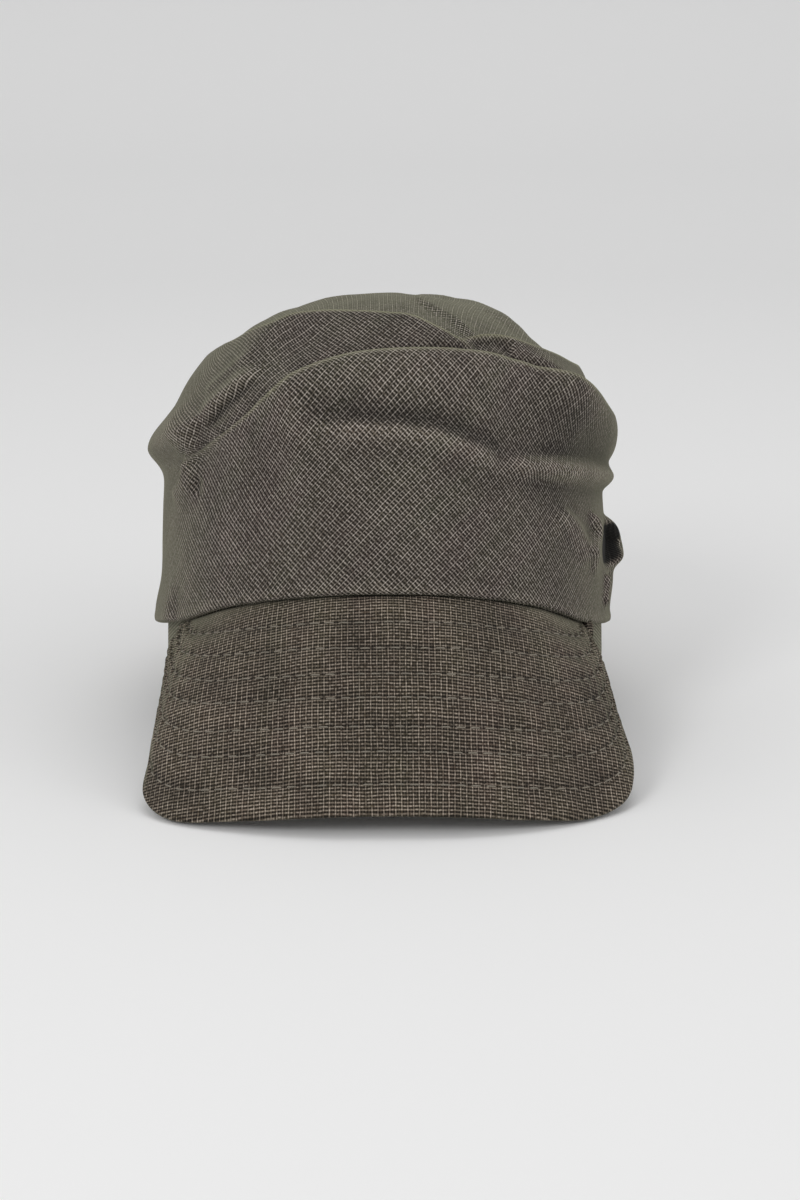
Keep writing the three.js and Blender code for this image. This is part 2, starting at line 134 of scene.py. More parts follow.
def over_crown(angle, share, out):
    """Points out mm off the crown: an oval that leans in up the wall and shrinks by the cosine of the
    climb over the dome, while the height grows up the wall and then with the sine of the climb."""
    turn = np.radians(angle)
    climb = np.clip((share - WALL_SHARE) / (1 - WALL_SHARE), 0, 1) * np.pi / 2
    up = np.clip(share / WALL_SHARE, 0, 1)
    inset = SIDE_WALL_TAPER * up * up
    girth = np.maximum(0, np.cos(climb)) ** DOME_FULLNESS
    x = (HEAD_HALF_WIDTH + CROWN_WALL - inset + out) * girth * np.sin(turn) - CROWN_LEAN * up * up
    y = -(HEAD_HALF_LENGTH + CROWN_WALL - inset + out) * girth * np.cos(turn)
    z = SIDE_WALL_HEIGHT * up + (CROWN_HEIGHT - SIDE_WALL_HEIGHT + out) * np.sin(climb)
    return np.stack(np.broadcast_arrays(x, y, z), axis=-1)


# %% Lines round the cap: (angle, share)
RIM_LINE = [(-180, 0), (-95, 0), (-78, 0.012), (-60, 0.052), (-32, 0.1), (0, 0.115), (32, 0.1),
            (60, 0.052), (78, 0.012), (95, 0)]
HEM_LINE = [(-180, 0.066), (-90, 0.072), (-62, 0.086), (-40, 0.122), (-20, 0.142), (0, 0.149),
            (20, 0.142), (40, 0.119), (60, 0.082), (90, 0.071)]
TOP_LINE = [(-180, 0.62), (-100, 0.62), (-67, 0.668), (-53, 0.69), (-41, 0.702), (-33, 0.727),
            (-22, 0.734), (-9, 0.731), (5, 0.724), (11, 0.709), (17, 0.683), (24, 0.668),
            (35, 0.671), (42, 0.664), (49, 0.649), (58, 0.627), (74, 0.605), (100, 0.6),
            (130, 0.605)]
FRONT_FOLD_LINE = [(-180, 0.42), (-110, 0.405), (-90, 0.39), (-72, 0.38), (-55, 0.387),
                   (-39, 0.443), (-27, 0.493), (-20, 0.54), (-7, 0.578), (8, 0.587), (24, 0.582),
                   (38, 0.56), (53, 0.517), (68, 0.474), (90, 0.45), (120, 0.43)]


def around(line, angle):
    """A smooth closed curve through a line's rows: between two rows a cubic, whose slope at each row
    is that between the row's two neighbours."""
    rows = np.array(line, float)
    at = np.concatenate([rows[:, 0] + turn for turn in (-720, -360, 0, 360, 720)])
    value = np.tile(rows[:, 1], 5)
    slope = np.gradient(value)
    slope[1:-1] = (value[2:] - value[:-2]) / (at[2:] - at[:-2])
    k = np.searchsorted(at, angle, side="right") - 1
    span = at[k + 1] - at[k]
    t = (angle - at[k]) / span
    return ((2 * t**3 - 3 * t**2 + 1) * value[k] + (t**3 - 2 * t**2 + t) * slope[k] * span
            + (3 * t**2 - 2 * t**3) * value[k + 1] + (t**3 - t**2) * slope[k + 1] * span)


print("hem at the front:", round(float(around(HEM_LINE, np.array([0.0]))[0]), 3))

# %% [markdown]
# ## Folds
#
# A gathered fold is a ridge along a path on the unrolled cloth. Its height falls off to both sides by
# a bell curve, with a width of its own on each side: narrow behind, where the cloth drops steeply
# into the valley, and wide in front. A fold also leans over that valley, as real cloth does, so the
# same bell curve slides the cloth sideways. Simulation could make such folds, but not these very
# ones, so they are laid one by one along the lines that the cap shows.

# %% Folds of the drape: path of (angle, share), then lift, width left and right of the path, lean, in mm
BULGES = [
    ([(-52, 0.47), (-70, 0.43), (-90, 0.408), (-118, 0.4)], 7, 7, 13, 0),
    ([(40, 0.56), (58, 0.5), (80, 0.44), (112, 0.4)], 6.5, 18, 11, 0),
    ([(80, 0.17), (92, 0.17), (110, 0.19)], 2.5, 14, 14, 0),
    ([(-34, 0.48), (0, 0.52), (34, 0.51)], 3.5, 16, 24, 0),
    ([(-170, 0.3), (-140, 0.35), (-115, 0.36)], 4, 18, 22, 0),
    ([(125, 0.45), (150, 0.4), (178, 0.33)], 4, 18, 20, 0),
]
FOLDS = [
    (FRONT_FOLD_LINE[4:15], 8, 1.6, 15, 2.2),
    ([(-67, 0.658), (-53, 0.68), (-41, 0.691), (-33, 0.717), (-22, 0.724), (-9, 0.721), (5, 0.714),
      (11, 0.699), (17, 0.671), (23, 0.653), (27, 0.628)], 4.5, 1.4, 11, 0.9),
    ([(22, 0.643), (28, 0.657), (35, 0.66), (42, 0.654), (49, 0.639), (58, 0.617), (74, 0.595),
      (90, 0.588), (112, 0.58)], 4, 1.4, 9, 0.9),
    ([(-37, 0.592), (-40, 0.561), (-44, 0.531), (-49, 0.493), (-52, 0.454), (-57, 0.414),
      (-67, 0.387)], 3.5, 3.5, 8, 0.6),
    ([(-41, 0.624), (-47, 0.595), (-53, 0.554), (-56, 0.529)], 1.4, 4, 4, 0),
    ([(-18, 0.445), (-4, 0.445), (11, 0.433), (21, 0.404), (29, 0.37)], 2.6, 4.5, 6.5, 0),
    ([(28, 0.372), (35, 0.374), (41, 0.372), (52, 0.366), (66, 0.358), (80, 0.35), (88, 0.344)],
     4.5, 4.2, 4.6, 0),
    ([(48, 0.311), (51, 0.284), (55, 0.256), (59, 0.225), (63, 0.194)], 2.6, 3.5, 9, 0),
    ([(-59, 0.392), (-57, 0.368), (-60, 0.338), (-69, 0.318)], 3, 7, 1.8, -0.8),
    ([(62, 0.3), (66, 0.27), (66, 0.24), (63, 0.218), (67, 0.17)], 3.6, 3, 4, 0),
    ([(73, 0.274), (80, 0.267), (84.5, 0.255), (87, 0.24), (87.5, 0.224), (85.5, 0.207), (80, 0.19),
      (74, 0.178)], 5.2, 3.4, 3.4, 0),
    ([(76, 0.17), (75, 0.14), (72, 0.105)], 2.6, 3.2, 3.2, 0),
    ([(-62, 0.1), (-80, 0.095), (-104, 0.09)], 2.4, 8, 9, 0),
    ([(-165, 0.5), (-130, 0.53), (-100, 0.5)], 2.5, 7, 12, 0.8),
    ([(110, 0.3), (140, 0.27), (170, 0.2)], 2.5, 7, 12, 0.8),
]
HOLLOWS = [
    ([(74, 0.252), (80, 0.238), (79, 0.218), (73, 0.2)], -10, 4.6, 4.6, 0),
    ([(-36, 0.559), (-41, 0.529), (-46, 0.492), (-52, 0.453), (-56, 0.414)], -3.2, 3, 3.2, 0),
    ([(-30, 0.58), (-14, 0.597), (5, 0.613), (22, 0.613), (36, 0.603), (52, 0.565), (66, 0.53)],
     -3.6, 3, 3.5, 0),
    ([(27, 0.636), (36, 0.637), (42, 0.616)], -3, 4, 4, 0),
    ([(35, 0.327), (48, 0.321), (60, 0.314), (76, 0.308), (92, 0.3)], -5, 4, 5, 0),
    ([(-13, 0.47), (-2, 0.472), (10, 0.465), (20, 0.445), (30, 0.413), (41, 0.407), (55, 0.401)],
     -1.4, 7, 5, 0),
    ([(-52, 0.356), (-53, 0.32)], -1.4, 2.2, 2.2, 0),
]
CROWN_CREASES = [
    ([(140, 0.95), (105, 0.88), (80, 0.79), (60, 0.74)], 2.6, 12, 12, 0),
    ([(22, 0.87), (24, 0.844), (27, 0.808), (29.4, 0.775), (32.4, 0.721), (37, 0.683)], 1.6, 3, 5, 0),
]


# %% One fold and a list of folds
def smooth_path(corners, per_span=6):
    """A curve through corners: on each span a cubic whose end slopes are half the way between the
    corners to both sides."""
    c = np.asarray(corners, float)
    c = np.vstack([c[:1], c, c[-1:]])
    k = np.repeat(np.arange(len(c) - 3), per_span)
    t = np.tile(np.arange(per_span) / per_span, len(c) - 3)[:, None]
    a, b, p, q = c[k + 1], c[k + 2], c[k], c[k + 3]
    u, v = (b - p) / 2, (q - a) / 2
    curve = (2 * a - 2 * b + u + v) * t**3 + (3 * b - 3 * a - 2 * u - v) * t**2 + u * t + a
    return np.vstack([curve, c[-2:-1]])


def beside(path, x, y):
    """For every point (x, y): the distance to the nearest piece of the path, the side (+1 left, -1
    right), the share along the path, and the unit direction to the left of that piece."""
    best = np.full(x.shape, np.inf)
    side, along = np.ones(x.shape), np.zeros(x.shape)
    left_x, left_y = np.zeros(x.shape), np.ones(x.shape)
    for i, ((ax, ay), (bx, by)) in enumerate(zip(path[:-1], path[1:])):
        dx, dy = bx - ax, by - ay
        length = np.hypot(dx, dy)
        t = np.clip(((x - ax) * dx + (y - ay) * dy) / length**2, 0, 1)
        ox, oy = x - ax - t * dx, y - ay - t * dy
        distance = ox * ox + oy * oy
        near = distance < best
        best = np.where(near, distance, best)
        side = np.where(near, np.sign(dx * oy - dy * ox), side)
        along = np.where(near, (i + t) / (len(path) - 1), along)
        left_x, left_y = np.where(near, -dy / length, left_x), np.where(near, dx / length, left_y)
    return np.sqrt(best), side, along, left_x, left_y


def gathered(folds, angle, share, fade=0.22):
    """The sum over the folds of lift * exp(-(distance / width)^2), fading to an eighth towards the
    two ends of each path, and the same sum for the lean, along the cloth."""
    lift_sum, slide_x, slide_y = (np.zeros(angle.shape) for _ in range(3))
    y = share * MERIDIAN
    for corners, lift, left, right, lean in folds:
        path = smooth_path(np.array(corners) * [np.radians(MEAN_RADIUS), MERIDIAN])
        reach = 3.2 * max(left, right)
        for turn in (-360, 0, 360):
            x = np.radians(angle + turn) * MEAN_RADIUS
            near = ((x > path[:, 0].min() - reach) & (x < path[:, 0].max() + reach)
                    & (y > path[:, 1].min() - reach) & (y < path[:, 1].max() + reach))
            if not near.any():
                continue
            distance, side, along, left_x, left_y = beside(path, x[near], y[near])
            width = np.where(side > 0, left, right)
            end = smoothstep(np.minimum(along, 1 - along), 0, fade)
            bell = (0.12 + 0.88 * end) * np.exp(-((distance / width) ** 2))
            lift_sum[near] += lift * bell
            slide_x[near] += lean * bell * left_x
            slide_y[near] += lean * bell * left_y
    return lift_sum, slide_x, slide_y


# %% [markdown]
# ## Laying the cap down
#
# Off the head, the cap rests on its back rim and on the peak's two front corners, so its front is
# raised. All points are worked out upright and are then laid down about the back rim by that tilt.
# The tilt follows from the peak's edge, so the peak's shape comes first. Its edge is a smooth curve
# through a short table; its root follows the hem; and the cloth between swells a little.

# %% The peak's sizes and edge: across, across on the wearer's right, forward, down, root (shares)
PEAK_HALF_WIDTH = 87.0
PEAK_REACH = 42.0
PEAK_DROP = 45.0
PEAK_ROOT_ANGLE = 63.0
PEAK_SWELL = 4.0
PEAK_SWELL_RIGHT = 6.5
PEAK_UPPER_WALL = 1.5
PEAK_UNDER_WALL = 1.5
PEAK_GAP = 0.3
ROOT_SPREAD = 1.6
REST_LENGTH = 7.0
PEAK_EDGE = np.array([
    (0, 0, 1, 0.935, 0),
    (0.29, 0.29, 0.994, 0.95, 0.22),
    (0.57, 0.58, 0.955, 0.985, 0.43),
    (0.81, 0.86, 0.885, 1, 0.62),
    (0.96, 0.965, 0.805, 0.88, 0.75),
    (0.985, 0.955, 0.7, 0.62, 0.85),
    (0.925, 0.925, 0.572, 0.3, 0.92),
    (0.88, 0.89, 0.445, 0, 0.965),
    (0.85, 0.86, 0.36, -0.3, 1),
])


def curve_through(points, t):
    """The centripetal curve through points, at shares t of its rows: a cubic per span, with slopes
    weighted by the square roots of the distances between the points."""
    p = np.asarray(points, float)
    p = np.vstack([2 * p[0] - p[1], p, 2 * p[-1] - p[-2]])
    place_in = np.clip(t, 0, 1) * (len(p) - 3)
    k = np.minimum(place_in.astype(int), len(p) - 4)
    w = (place_in - k)[..., None]
    gap = np.sqrt(np.linalg.norm(np.diff(p, axis=0), axis=1))[:, None]
    p0, p1, p2, p3 = p[k], p[k + 1], p[k + 2], p[k + 3]
    g0, g1, g2 = gap[k], gap[k + 1], gap[k + 2]
    start = ((p1 - p0) / g0 - (p2 - p0) / (g0 + g1) + (p2 - p1) / g1) * g1
    end = ((p2 - p1) / g1 - (p3 - p1) / (g1 + g2) + (p3 - p2) / g2) * g1
    return (p1 + start * w + (3 * p2 - 3 * p1 - 2 * start - end) * w**2
            + (2 * p1 - 2 * p2 + start + end) * w**3)


def peak_root(across, depth):
    """The root: on the crown just under the hem, a deeper layer a little lower down the wall."""
    share_of_angle = curve_through(np.column_stack([PEAK_EDGE[:, 4], PEAK_EDGE[:, 4] * 0]), np.abs(across))
    angle = np.sign(across) * share_of_angle[..., 0] * PEAK_ROOT_ANGLE
    share = around(HEM_LINE, angle) - (PEAK_GAP + ROOT_SPREAD * depth) / MERIDIAN
    return over_crown(angle, share, PEAK_GAP)


def peak_edge(across):
    """The outer edge: the table's shares of the half width, the length to the front and the drop."""
    length = HEAD_HALF_LENGTH + CROWN_WALL + PEAK_REACH
    scale = [PEAK_HALF_WIDTH, -length, -PEAK_DROP]
    right = curve_through(PEAK_EDGE[:, [0, 2, 3]] * scale, np.abs(across))
    left = curve_through(PEAK_EDGE[:, [1, 2, 3]] * scale, np.abs(across)) * [-1, 1, 1]
    return np.where((across < 0)[..., None], left, right)


def peak_top(across, down):
    """The upper surface: straight from root to edge, plus a swell outwards by the sine of
    pi * down^0.7, which is highest nearer to the root."""
    root, edge = peak_root(across, 0.0), peak_edge(across)
    length = length_of(edge - root)
    full = PEAK_SWELL + (PEAK_SWELL_RIGHT - PEAK_SWELL) * np.maximum(0, -across)
    swell = full * np.minimum(1, length / PEAK_DROP) * np.sin(np.pi * down**0.7)
    outward = unit(root * [1, 1, 0])
    outward[..., 2] = 0.55
    return root + (edge - root) * down[..., None] + unit(outward) * swell[..., None]


# %% Tilt of the resting cap
REST_LINE = HEAD_HALF_LENGTH + CROWN_WALL - REST_LENGTH


def surface_normals(points):
    """Unit normals of a grid of points: the cross product of its slopes down and across the grid."""
    down = np.gradient(points, axis=0)
    across = np.gradient(points, axis=1)
    normal = np.cross(down, across)
    return normal / np.maximum(length_of(normal), 1e-9)[..., None]


feet_across, feet_down = np.meshgrid(np.linspace(-1, 1, 39), np.array([0.99, 1.0]))
feet = peak_top(feet_across, feet_down)
feet = (feet - surface_normals(feet) * (PEAK_UPPER_WALL + PEAK_GAP + PEAK_UNDER_WALL))[1]
REST_TILT = np.arctan(np.max(feet[:, 2] / (feet[:, 1] - REST_LINE)))
print("tilt of the resting cap:", round(float(np.degrees(REST_TILT)), 2), "degrees")


def tilted(points):
    """Upright points laid down about the back rim's line; what would sink lies flat on the floor."""
    cos, sin = np.cos(REST_TILT), np.sin(REST_TILT)
    x, y, z = points[..., 0], points[..., 1], points[..., 2]
    return np.stack([x, y * cos + z * sin, np.maximum(0, z * cos - (y - REST_LINE) * sin)], axis=-1)


wall_angle, wall_share = np.meshgrid(np.linspace(-180, 180, 721), np.linspace(0, 1, 201))
wall = tilted(over_crown(wall_angle, np.maximum(wall_share, around(RIM_LINE, wall_angle)), 0.0))
crown_low, crown_high = (np.array(corner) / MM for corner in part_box("crown"))
SHIFT = (crown_low + crown_high) / 2 - (wall.min(axis=(0, 1)) + wall.max(axis=(0, 1))) / 2
SHIFT[2] = 0
print("from the tilted cap to the packed model, mm:", SHIFT.round(2))


def laid_down(points):
    """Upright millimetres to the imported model's metres."""
    return (tilted(points) + SHIFT) * MM


# %% [markdown]
# ## From a grid of points to a piece
#
# A piece is a grid of points whose neighbours are joined by four-sided faces. A row of the grid may
# run right round the cap and close on itself, the rows may close into a tube, and a pole closes the
# tip. Each corner of a face also gets its place on the flat cloth, in millimetres along the two
# directions of the thread, for the weave.

# %% A closed shell from rows of points
def grid_faces(face_rows, face_columns):
    """Row and column numbers of the four corners of each face of a grid."""
    r, c = np.meshgrid(np.arange(face_rows), np.arange(face_columns), indexing="ij")
    return [np.stack(corners, axis=-1).reshape(-1, 4)
            for corners in ((r, r + 1, r + 1, r), (c, c, c + 1, c + 1))]


def shell(name, points, cloth, tube=False, poles=(), pole_cloth=(), marks=None):
    """Joins a grid of points (metres), whose rows run right round, into one closed mesh. cloth has the
    place on the flat cloth of each grid corner, with one more column (and row) where it closes."""
    rows, columns = points.shape[:2]
    corner_r, corner_c = grid_faces(rows if tube else rows - 1, columns)
    faces = [(corner_r % rows) * columns + corner_c % columns]
    places = [cloth[corner_r, corner_c]]
    vertices = points.reshape(-1, 3)
    around_c = np.arange(columns)
    for pole, pole_place, row, flip in zip(poles, pole_cloth, (0, rows - 1), (False, True)):
        tip = np.full(columns, len(vertices))
        vertices = np.vstack([vertices, pole])
        fan = np.stack([tip, row * columns + around_c, row * columns + (around_c + 1) % columns], axis=-1)
        fan_place = np.stack([np.broadcast_to(pole_place, (columns, 2)), cloth[row, around_c],
                              cloth[row, around_c + 1]], axis=1)
        faces.append(fan[:, ::-1] if flip else fan)
        places.append(fan_place[:, ::-1] if flip else fan_place)
    return mesh_piece(name, vertices, faces, places, marks)


def mesh_piece(name, vertices, faces, places, marks=None):
    """A smooth-shaded object from vertices and arrays of faces, turned so that its faces look out."""
    first = vertices[faces[0]]
    volume = np.einsum("ij,ij->i", first[:, 0], np.cross(first[:, 1], first[:, 2])).sum()
    if faces[0].shape[1] == 4:
        volume += np.einsum("ij,ij->i", first[:, 0], np.cross(first[:, 2], first[:, 3])).sum()
    if volume < 0:
        faces = [face[:, ::-1] for face in faces]
        places = [place_[:, ::-1] for place_ in places]
    mesh = bpy.data.meshes.new(name)
    mesh.from_pydata(vertices.tolist(), [], [face for part in faces for face in part.tolist()])
    layer = mesh.uv_layers.new(name="cloth")
    layer.data.foreach_set("uv", np.concatenate([place_.reshape(-1) for place_ in places]))
    for mark, values in (marks or {}).items():
        spare = len(vertices) - values.size
        attribute = mesh.attributes.new(mark, "FLOAT", "POINT")
        attribute.data.foreach_set("value", np.concatenate([values.reshape(-1), np.zeros(spare)]))
    mesh.polygons.foreach_set("use_smooth", np.ones(len(mesh.polygons), bool))
    mesh.update()
    piece = bpy.data.objects.new(name, mesh)
    bpy.context.scene.collection.objects.link(piece)
    triangles = sum(len(part) * (part.shape[1] - 2) for part in faces)
    print(f"{name}: {len(vertices)} points, {triangles} triangles")
    return piece


def cloth_lengths(points, origin_row, origin_column, tube=False):
    """The place of each corner on the flat cloth: the length of cloth along its row from the origin
    column, and along its column from the origin row."""
    grid = np.concatenate([points, points[:, :1]], axis=1)
    grid = np.concatenate([grid, grid[:1]], axis=0) if tube else grid
    u, v = (running(length_of(np.diff(grid, axis=axis)), axis) for axis in (1, 0))
    u = u - u[:, origin_column:origin_column + 1]
    v = v[origin_row:origin_row + 1] - v
    return np.stack([u, v], axis=-1) / MM


def on_the_bias(cloth, turn=45):
    """The same places with the thread's directions turned by an angle."""
    cos, sin = np.cos(np.radians(turn)), np.sin(np.radians(turn))
    return np.stack([cloth[..., 0] * cos - cloth[..., 1] * sin,
                     cloth[..., 0] * sin + cloth[..., 1] * cos], axis=-1)


# %% Small unevenness of soft cloth
def ripples(x, y, lengths, seed, stretch=1.0):
    """Soft dents between -1 and 1: a sum of sines whose directions and phases come from a fixed
    seed, with wavelengths (mm) spread between the two lengths."""
    random = np.random.default_rng(seed)
    total = np.zeros(np.broadcast(x, y).shape)
    count = 14
    for length in np.geomspace(lengths[0], lengths[1], count):
        turn, phase = random.uniform(0, np.pi), random.uniform(0, 2 * np.pi)
        total += np.sin(2 * np.pi * (x * np.cos(turn) / stretch + y * np.sin(turn)) / length + phase)
    return total / np.sqrt(count / 2) / 2.2


def angles_round(count, pocket=0.0):
    """Angles right round from the back, closer together at the front and at the pocket: the running
    sum of how much there is to show at each angle, cut into equal parts."""
    fine = np.linspace(-180, 180, 3601)
    to_show = 0.45 + 0.9 * np.exp(-((fine / 75) ** 2)) + pocket * np.exp(-(((fine - 83) / 12) ** 2))
    running = np.cumsum(to_show) - to_show[0]
    return np.interp(np.arange(count) / count * running[-1], running, fine)


# %% [markdown]
# ## Crown
#
# The cap's body is hollow and open below. Only its tip and a strip of side wall under the drape's hem
# show. Its outside is carried from the tip down to the rim, round the rim, and up inside again, so
# the piece is one closed wall. The tip's thread runs straight, and so does that of the side wall.

# %% Crown
CROWN_COLUMNS = 260
OUTER_ROWS, INNER_ROWS = 110, 50
NEAR_TIP = 0.995
crown_angle = angles_round(CROWN_COLUMNS)


def crown_rows(count, out, wall_radius):
    """Shares and distances off the crown of rows from near the tip down to the rim."""
    t = np.linspace(0, 1, count)[:, None] ** 0.9
    low = around(RIM_LINE, crown_angle)[None, :] + wall_radius / MERIDIAN
    share = NEAR_TIP + (low - NEAR_TIP) * t
    angle = np.broadcast_to(crown_angle, share.shape)
    crease = gathered(CROWN_CREASES, angle, share)[0] * smoothstep(1 - share, 0.02, 0.12)
    dents = ripples(np.radians(angle) * MEAN_RADIUS * np.sin(np.pi * np.clip(1 - share, 0, 0.5)),
                    share * MERIDIAN, (16, 70), 5)
    quiet = smoothstep(share, 0.55, 0.7) * smoothstep(1 - share, 0, 0.1)
    return share, out + crease + 0.5 * dents * quiet


half_wall = CROWN_WALL / 2
outer_share, outer_out = crown_rows(OUTER_ROWS, 0.0, half_wall)
inner_share, inner_out = crown_rows(INNER_ROWS, -CROWN_WALL, half_wall)
round_rim = np.linspace(0, np.pi, 8)[1:-1, None]
rim_share = around(RIM_LINE, crown_angle)[None, :] + half_wall * (1 - np.sin(round_rim)) / MERIDIAN
crown_points = laid_down(np.concatenate([
    over_crown(crown_angle, outer_share, outer_out),
    over_crown(crown_angle, rim_share, half_wall * np.cos(round_rim) - half_wall),
    over_crown(crown_angle, inner_share, inner_out)[::-1]]))
crown_poles = laid_down(np.stack([over_crown(0.0, 1.0, 0.0), over_crown(0.0, 1.0, -CROWN_WALL)]))
crown_lengths = cloth_lengths(crown_points, OUTER_ROWS - 1, CROWN_COLUMNS // 2)
first_ring = length_of(crown_points[0] - crown_poles[0]) / MM
from_tip = np.append(first_ring, first_ring[0]) + crown_lengths[:1, :, 1] - crown_lengths[..., 1]
turn_round = np.radians(np.append(crown_angle, crown_angle[0] + 360))
tip_cloth = np.stack([from_tip * np.sin(turn_round), -from_tip * np.cos(turn_round)], axis=-1)
share_rows = np.concatenate([outer_share, rim_share, inner_share[::-1]])
share_rows = np.concatenate([share_rows, share_rows[:, :1]], axis=1)
on_tip = (share_rows.mean(axis=1) > 0.5)[:, None, None]
crown_cloth = np.where(on_tip, tip_cloth, crown_lengths)
crown = shell("cap_crown", crown_points, crown_cloth, poles=crown_poles,
              pole_cloth=([0, 0], [0, 0]), marks={"painted_light_and_wear": np.zeros(crown_points.shape[:2])})
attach(crown, "root")
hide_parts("crown")

# %% [markdown]
# ## Drape
#
# A wide band of the same cloth, cut on the bias so that it stretches and gathers softly, is wrapped
# round the crown. Its outside runs from the top edge over all the folds down to the rolled hem, and
# its inside goes back up. Slack places stand off the crown with room behind them.

# %% Drape: how far the cloth stands out
DRAPE_WALL = 1.6
DRAPE_GAP = 0.6
HEM_ROLL = 2.4
TOP_SNUG = 14.0


def slack(angle, share):
    """The broad slack places, which lie down on the crown towards the top edge."""
    below = (around(TOP_LINE, angle) - share) * MERIDIAN
    return gathered(BULGES, angle, share)[0] * smoothstep(below, 0, TOP_SNUG)


def drape_outside(angle, share):
    """Distance off the crown and slide along the cloth of the outside. Slack, folds and hollows are
    summed and rounded off at the crown by (s + sqrt(s^2 + 0.6)) / 2; small dents are added."""
    lift, slide_x, slide_y = gathered(FOLDS, angle, share)
    total = slack(angle, share) + lift + gathered(HOLLOWS, angle, share)[0]
    x, y = np.radians(angle) * MEAN_RADIUS, share * MERIDIAN
    seamless = np.cos(np.radians(angle / 2)) ** 0.25
    dents = 0.45 * ripples(x, y, (14, 60), 11, stretch=1.8) * seamless
    total = total + dents
    crease = gathered(CROWN_CREASES, angle, share)[0]
    return DRAPE_GAP + DRAPE_WALL + crease + (total + np.sqrt(total**2 + 0.6)) / 2, slide_x, slide_y


def drape_inside(angle, share, outside):
    """Distance off the crown of the inside: under the slack, and at least a wall inside the outside."""
    nearest = DRAPE_GAP + gathered(CROWN_CREASES, angle, share)[0]
    return np.maximum(nearest, np.minimum(nearest + slack(angle, share), outside - DRAPE_WALL))


# %% Drape: rows from the top edge over the outside, round the hem and back up inside
DRAPE_COLUMNS = 470
DRAPE_ROWS = 176
drape_angle = angles_round(DRAPE_COLUMNS, pocket=1.6)[None, :]
top_share = around(TOP_LINE, drape_angle)
hem_share = around(HEM_LINE, drape_angle)
edge_half = DRAPE_WALL / 2
high = top_share - edge_half / MERIDIAN
low = hem_share + HEM_ROLL / 2 / MERIDIAN
fold_share = around(FRONT_FOLD_LINE, drape_angle)
stops = np.concatenate([high, np.minimum(fold_share + 5 / MERIDIAN, high - 4 / MERIDIAN),
                        np.minimum(fold_share - 2.5 / MERIDIAN, high - 8 / MERIDIAN), low])
row_place = np.interp(np.linspace(0, 1, DRAPE_ROWS), (0, 0.33, 0.5, 1), (0, 1, 2, 3))
band = np.minimum(row_place.astype(int), 2)
outside_share = stops[band] + (stops[band + 1] - stops[band]) * (row_place - band)[:, None]
outside_angle = np.broadcast_to(drape_angle, outside_share.shape)
outside_out, slide_x, slide_y = drape_outside(outside_angle, outside_share)
above_hem = (outside_share - hem_share) * MERIDIAN
hem_out = HEM_ROLL / 4 * np.exp(-((above_hem - HEM_ROLL * 0.7) / (HEM_ROLL * 0.9)) ** 2)
rolled_out = outside_out + hem_out
edge_quiet = smoothstep(above_hem, 0, 8) * smoothstep((top_share - outside_share) * MERIDIAN, 0, 4)
moved_angle = outside_angle + np.degrees(slide_x * edge_quiet / MEAN_RADIUS)
moved_share = outside_share + slide_y * edge_quiet / MERIDIAN
drape_outer = over_crown(moved_angle, moved_share, rolled_out)

inside_t = np.linspace(0, 1, 16)[:, None]
inside_share = low + (high - low) * inside_t
plain_out = np.stack([np.interp(inside_share[:, k], outside_share[::-1, k], outside_out[::-1, k])
                      for k in range(DRAPE_COLUMNS)], axis=1)
inside_out = drape_inside(np.broadcast_to(drape_angle, inside_share.shape), inside_share, plain_out)
drape_inner = over_crown(drape_angle, inside_share, inside_out)


def rounded_edge(from_out, to_out, share, bulge, count):
    """Rows half way round an edge: the distance off the crown follows the cosine from one face to
    the other, while the share swings out by the sine."""
    swing = np.linspace(0, np.pi, count + 2)[1:-1, None]
    out = (from_out + to_out) / 2 + (from_out - to_out) / 2 * np.cos(swing)
    return over_crown(drape_angle, share + bulge * np.sin(swing) / MERIDIAN, out)


hem_turn = rounded_edge(rolled_out[-1:], inside_out[:1], low, -HEM_ROLL / 2, 9)
top_turn = rounded_edge(inside_out[-1:], rolled_out[:1], high, edge_half, 5)
drape_points = laid_down(np.concatenate([drape_outer, hem_turn, drape_inner, top_turn]))
print("drape stands off the crown by up to", round(float(rolled_out.max()), 1), "mm")

# %% Drape: crests lighter, partly by wear and partly as painted light, and painted shade in the valleys. SHADED: path, how much lighter, width left and right, lean
def softened(values, times):
    """Each value averaged with its four neighbours, again and again."""
    for _ in range(times):
        padded = np.pad(values, ((1, 1), (0, 0)), mode="edge")
        values = (values * 2 + padded[:-2] + padded[2:]
                  + np.roll(values, 1, 1) + np.roll(values, -1, 1)) / 6
    return values
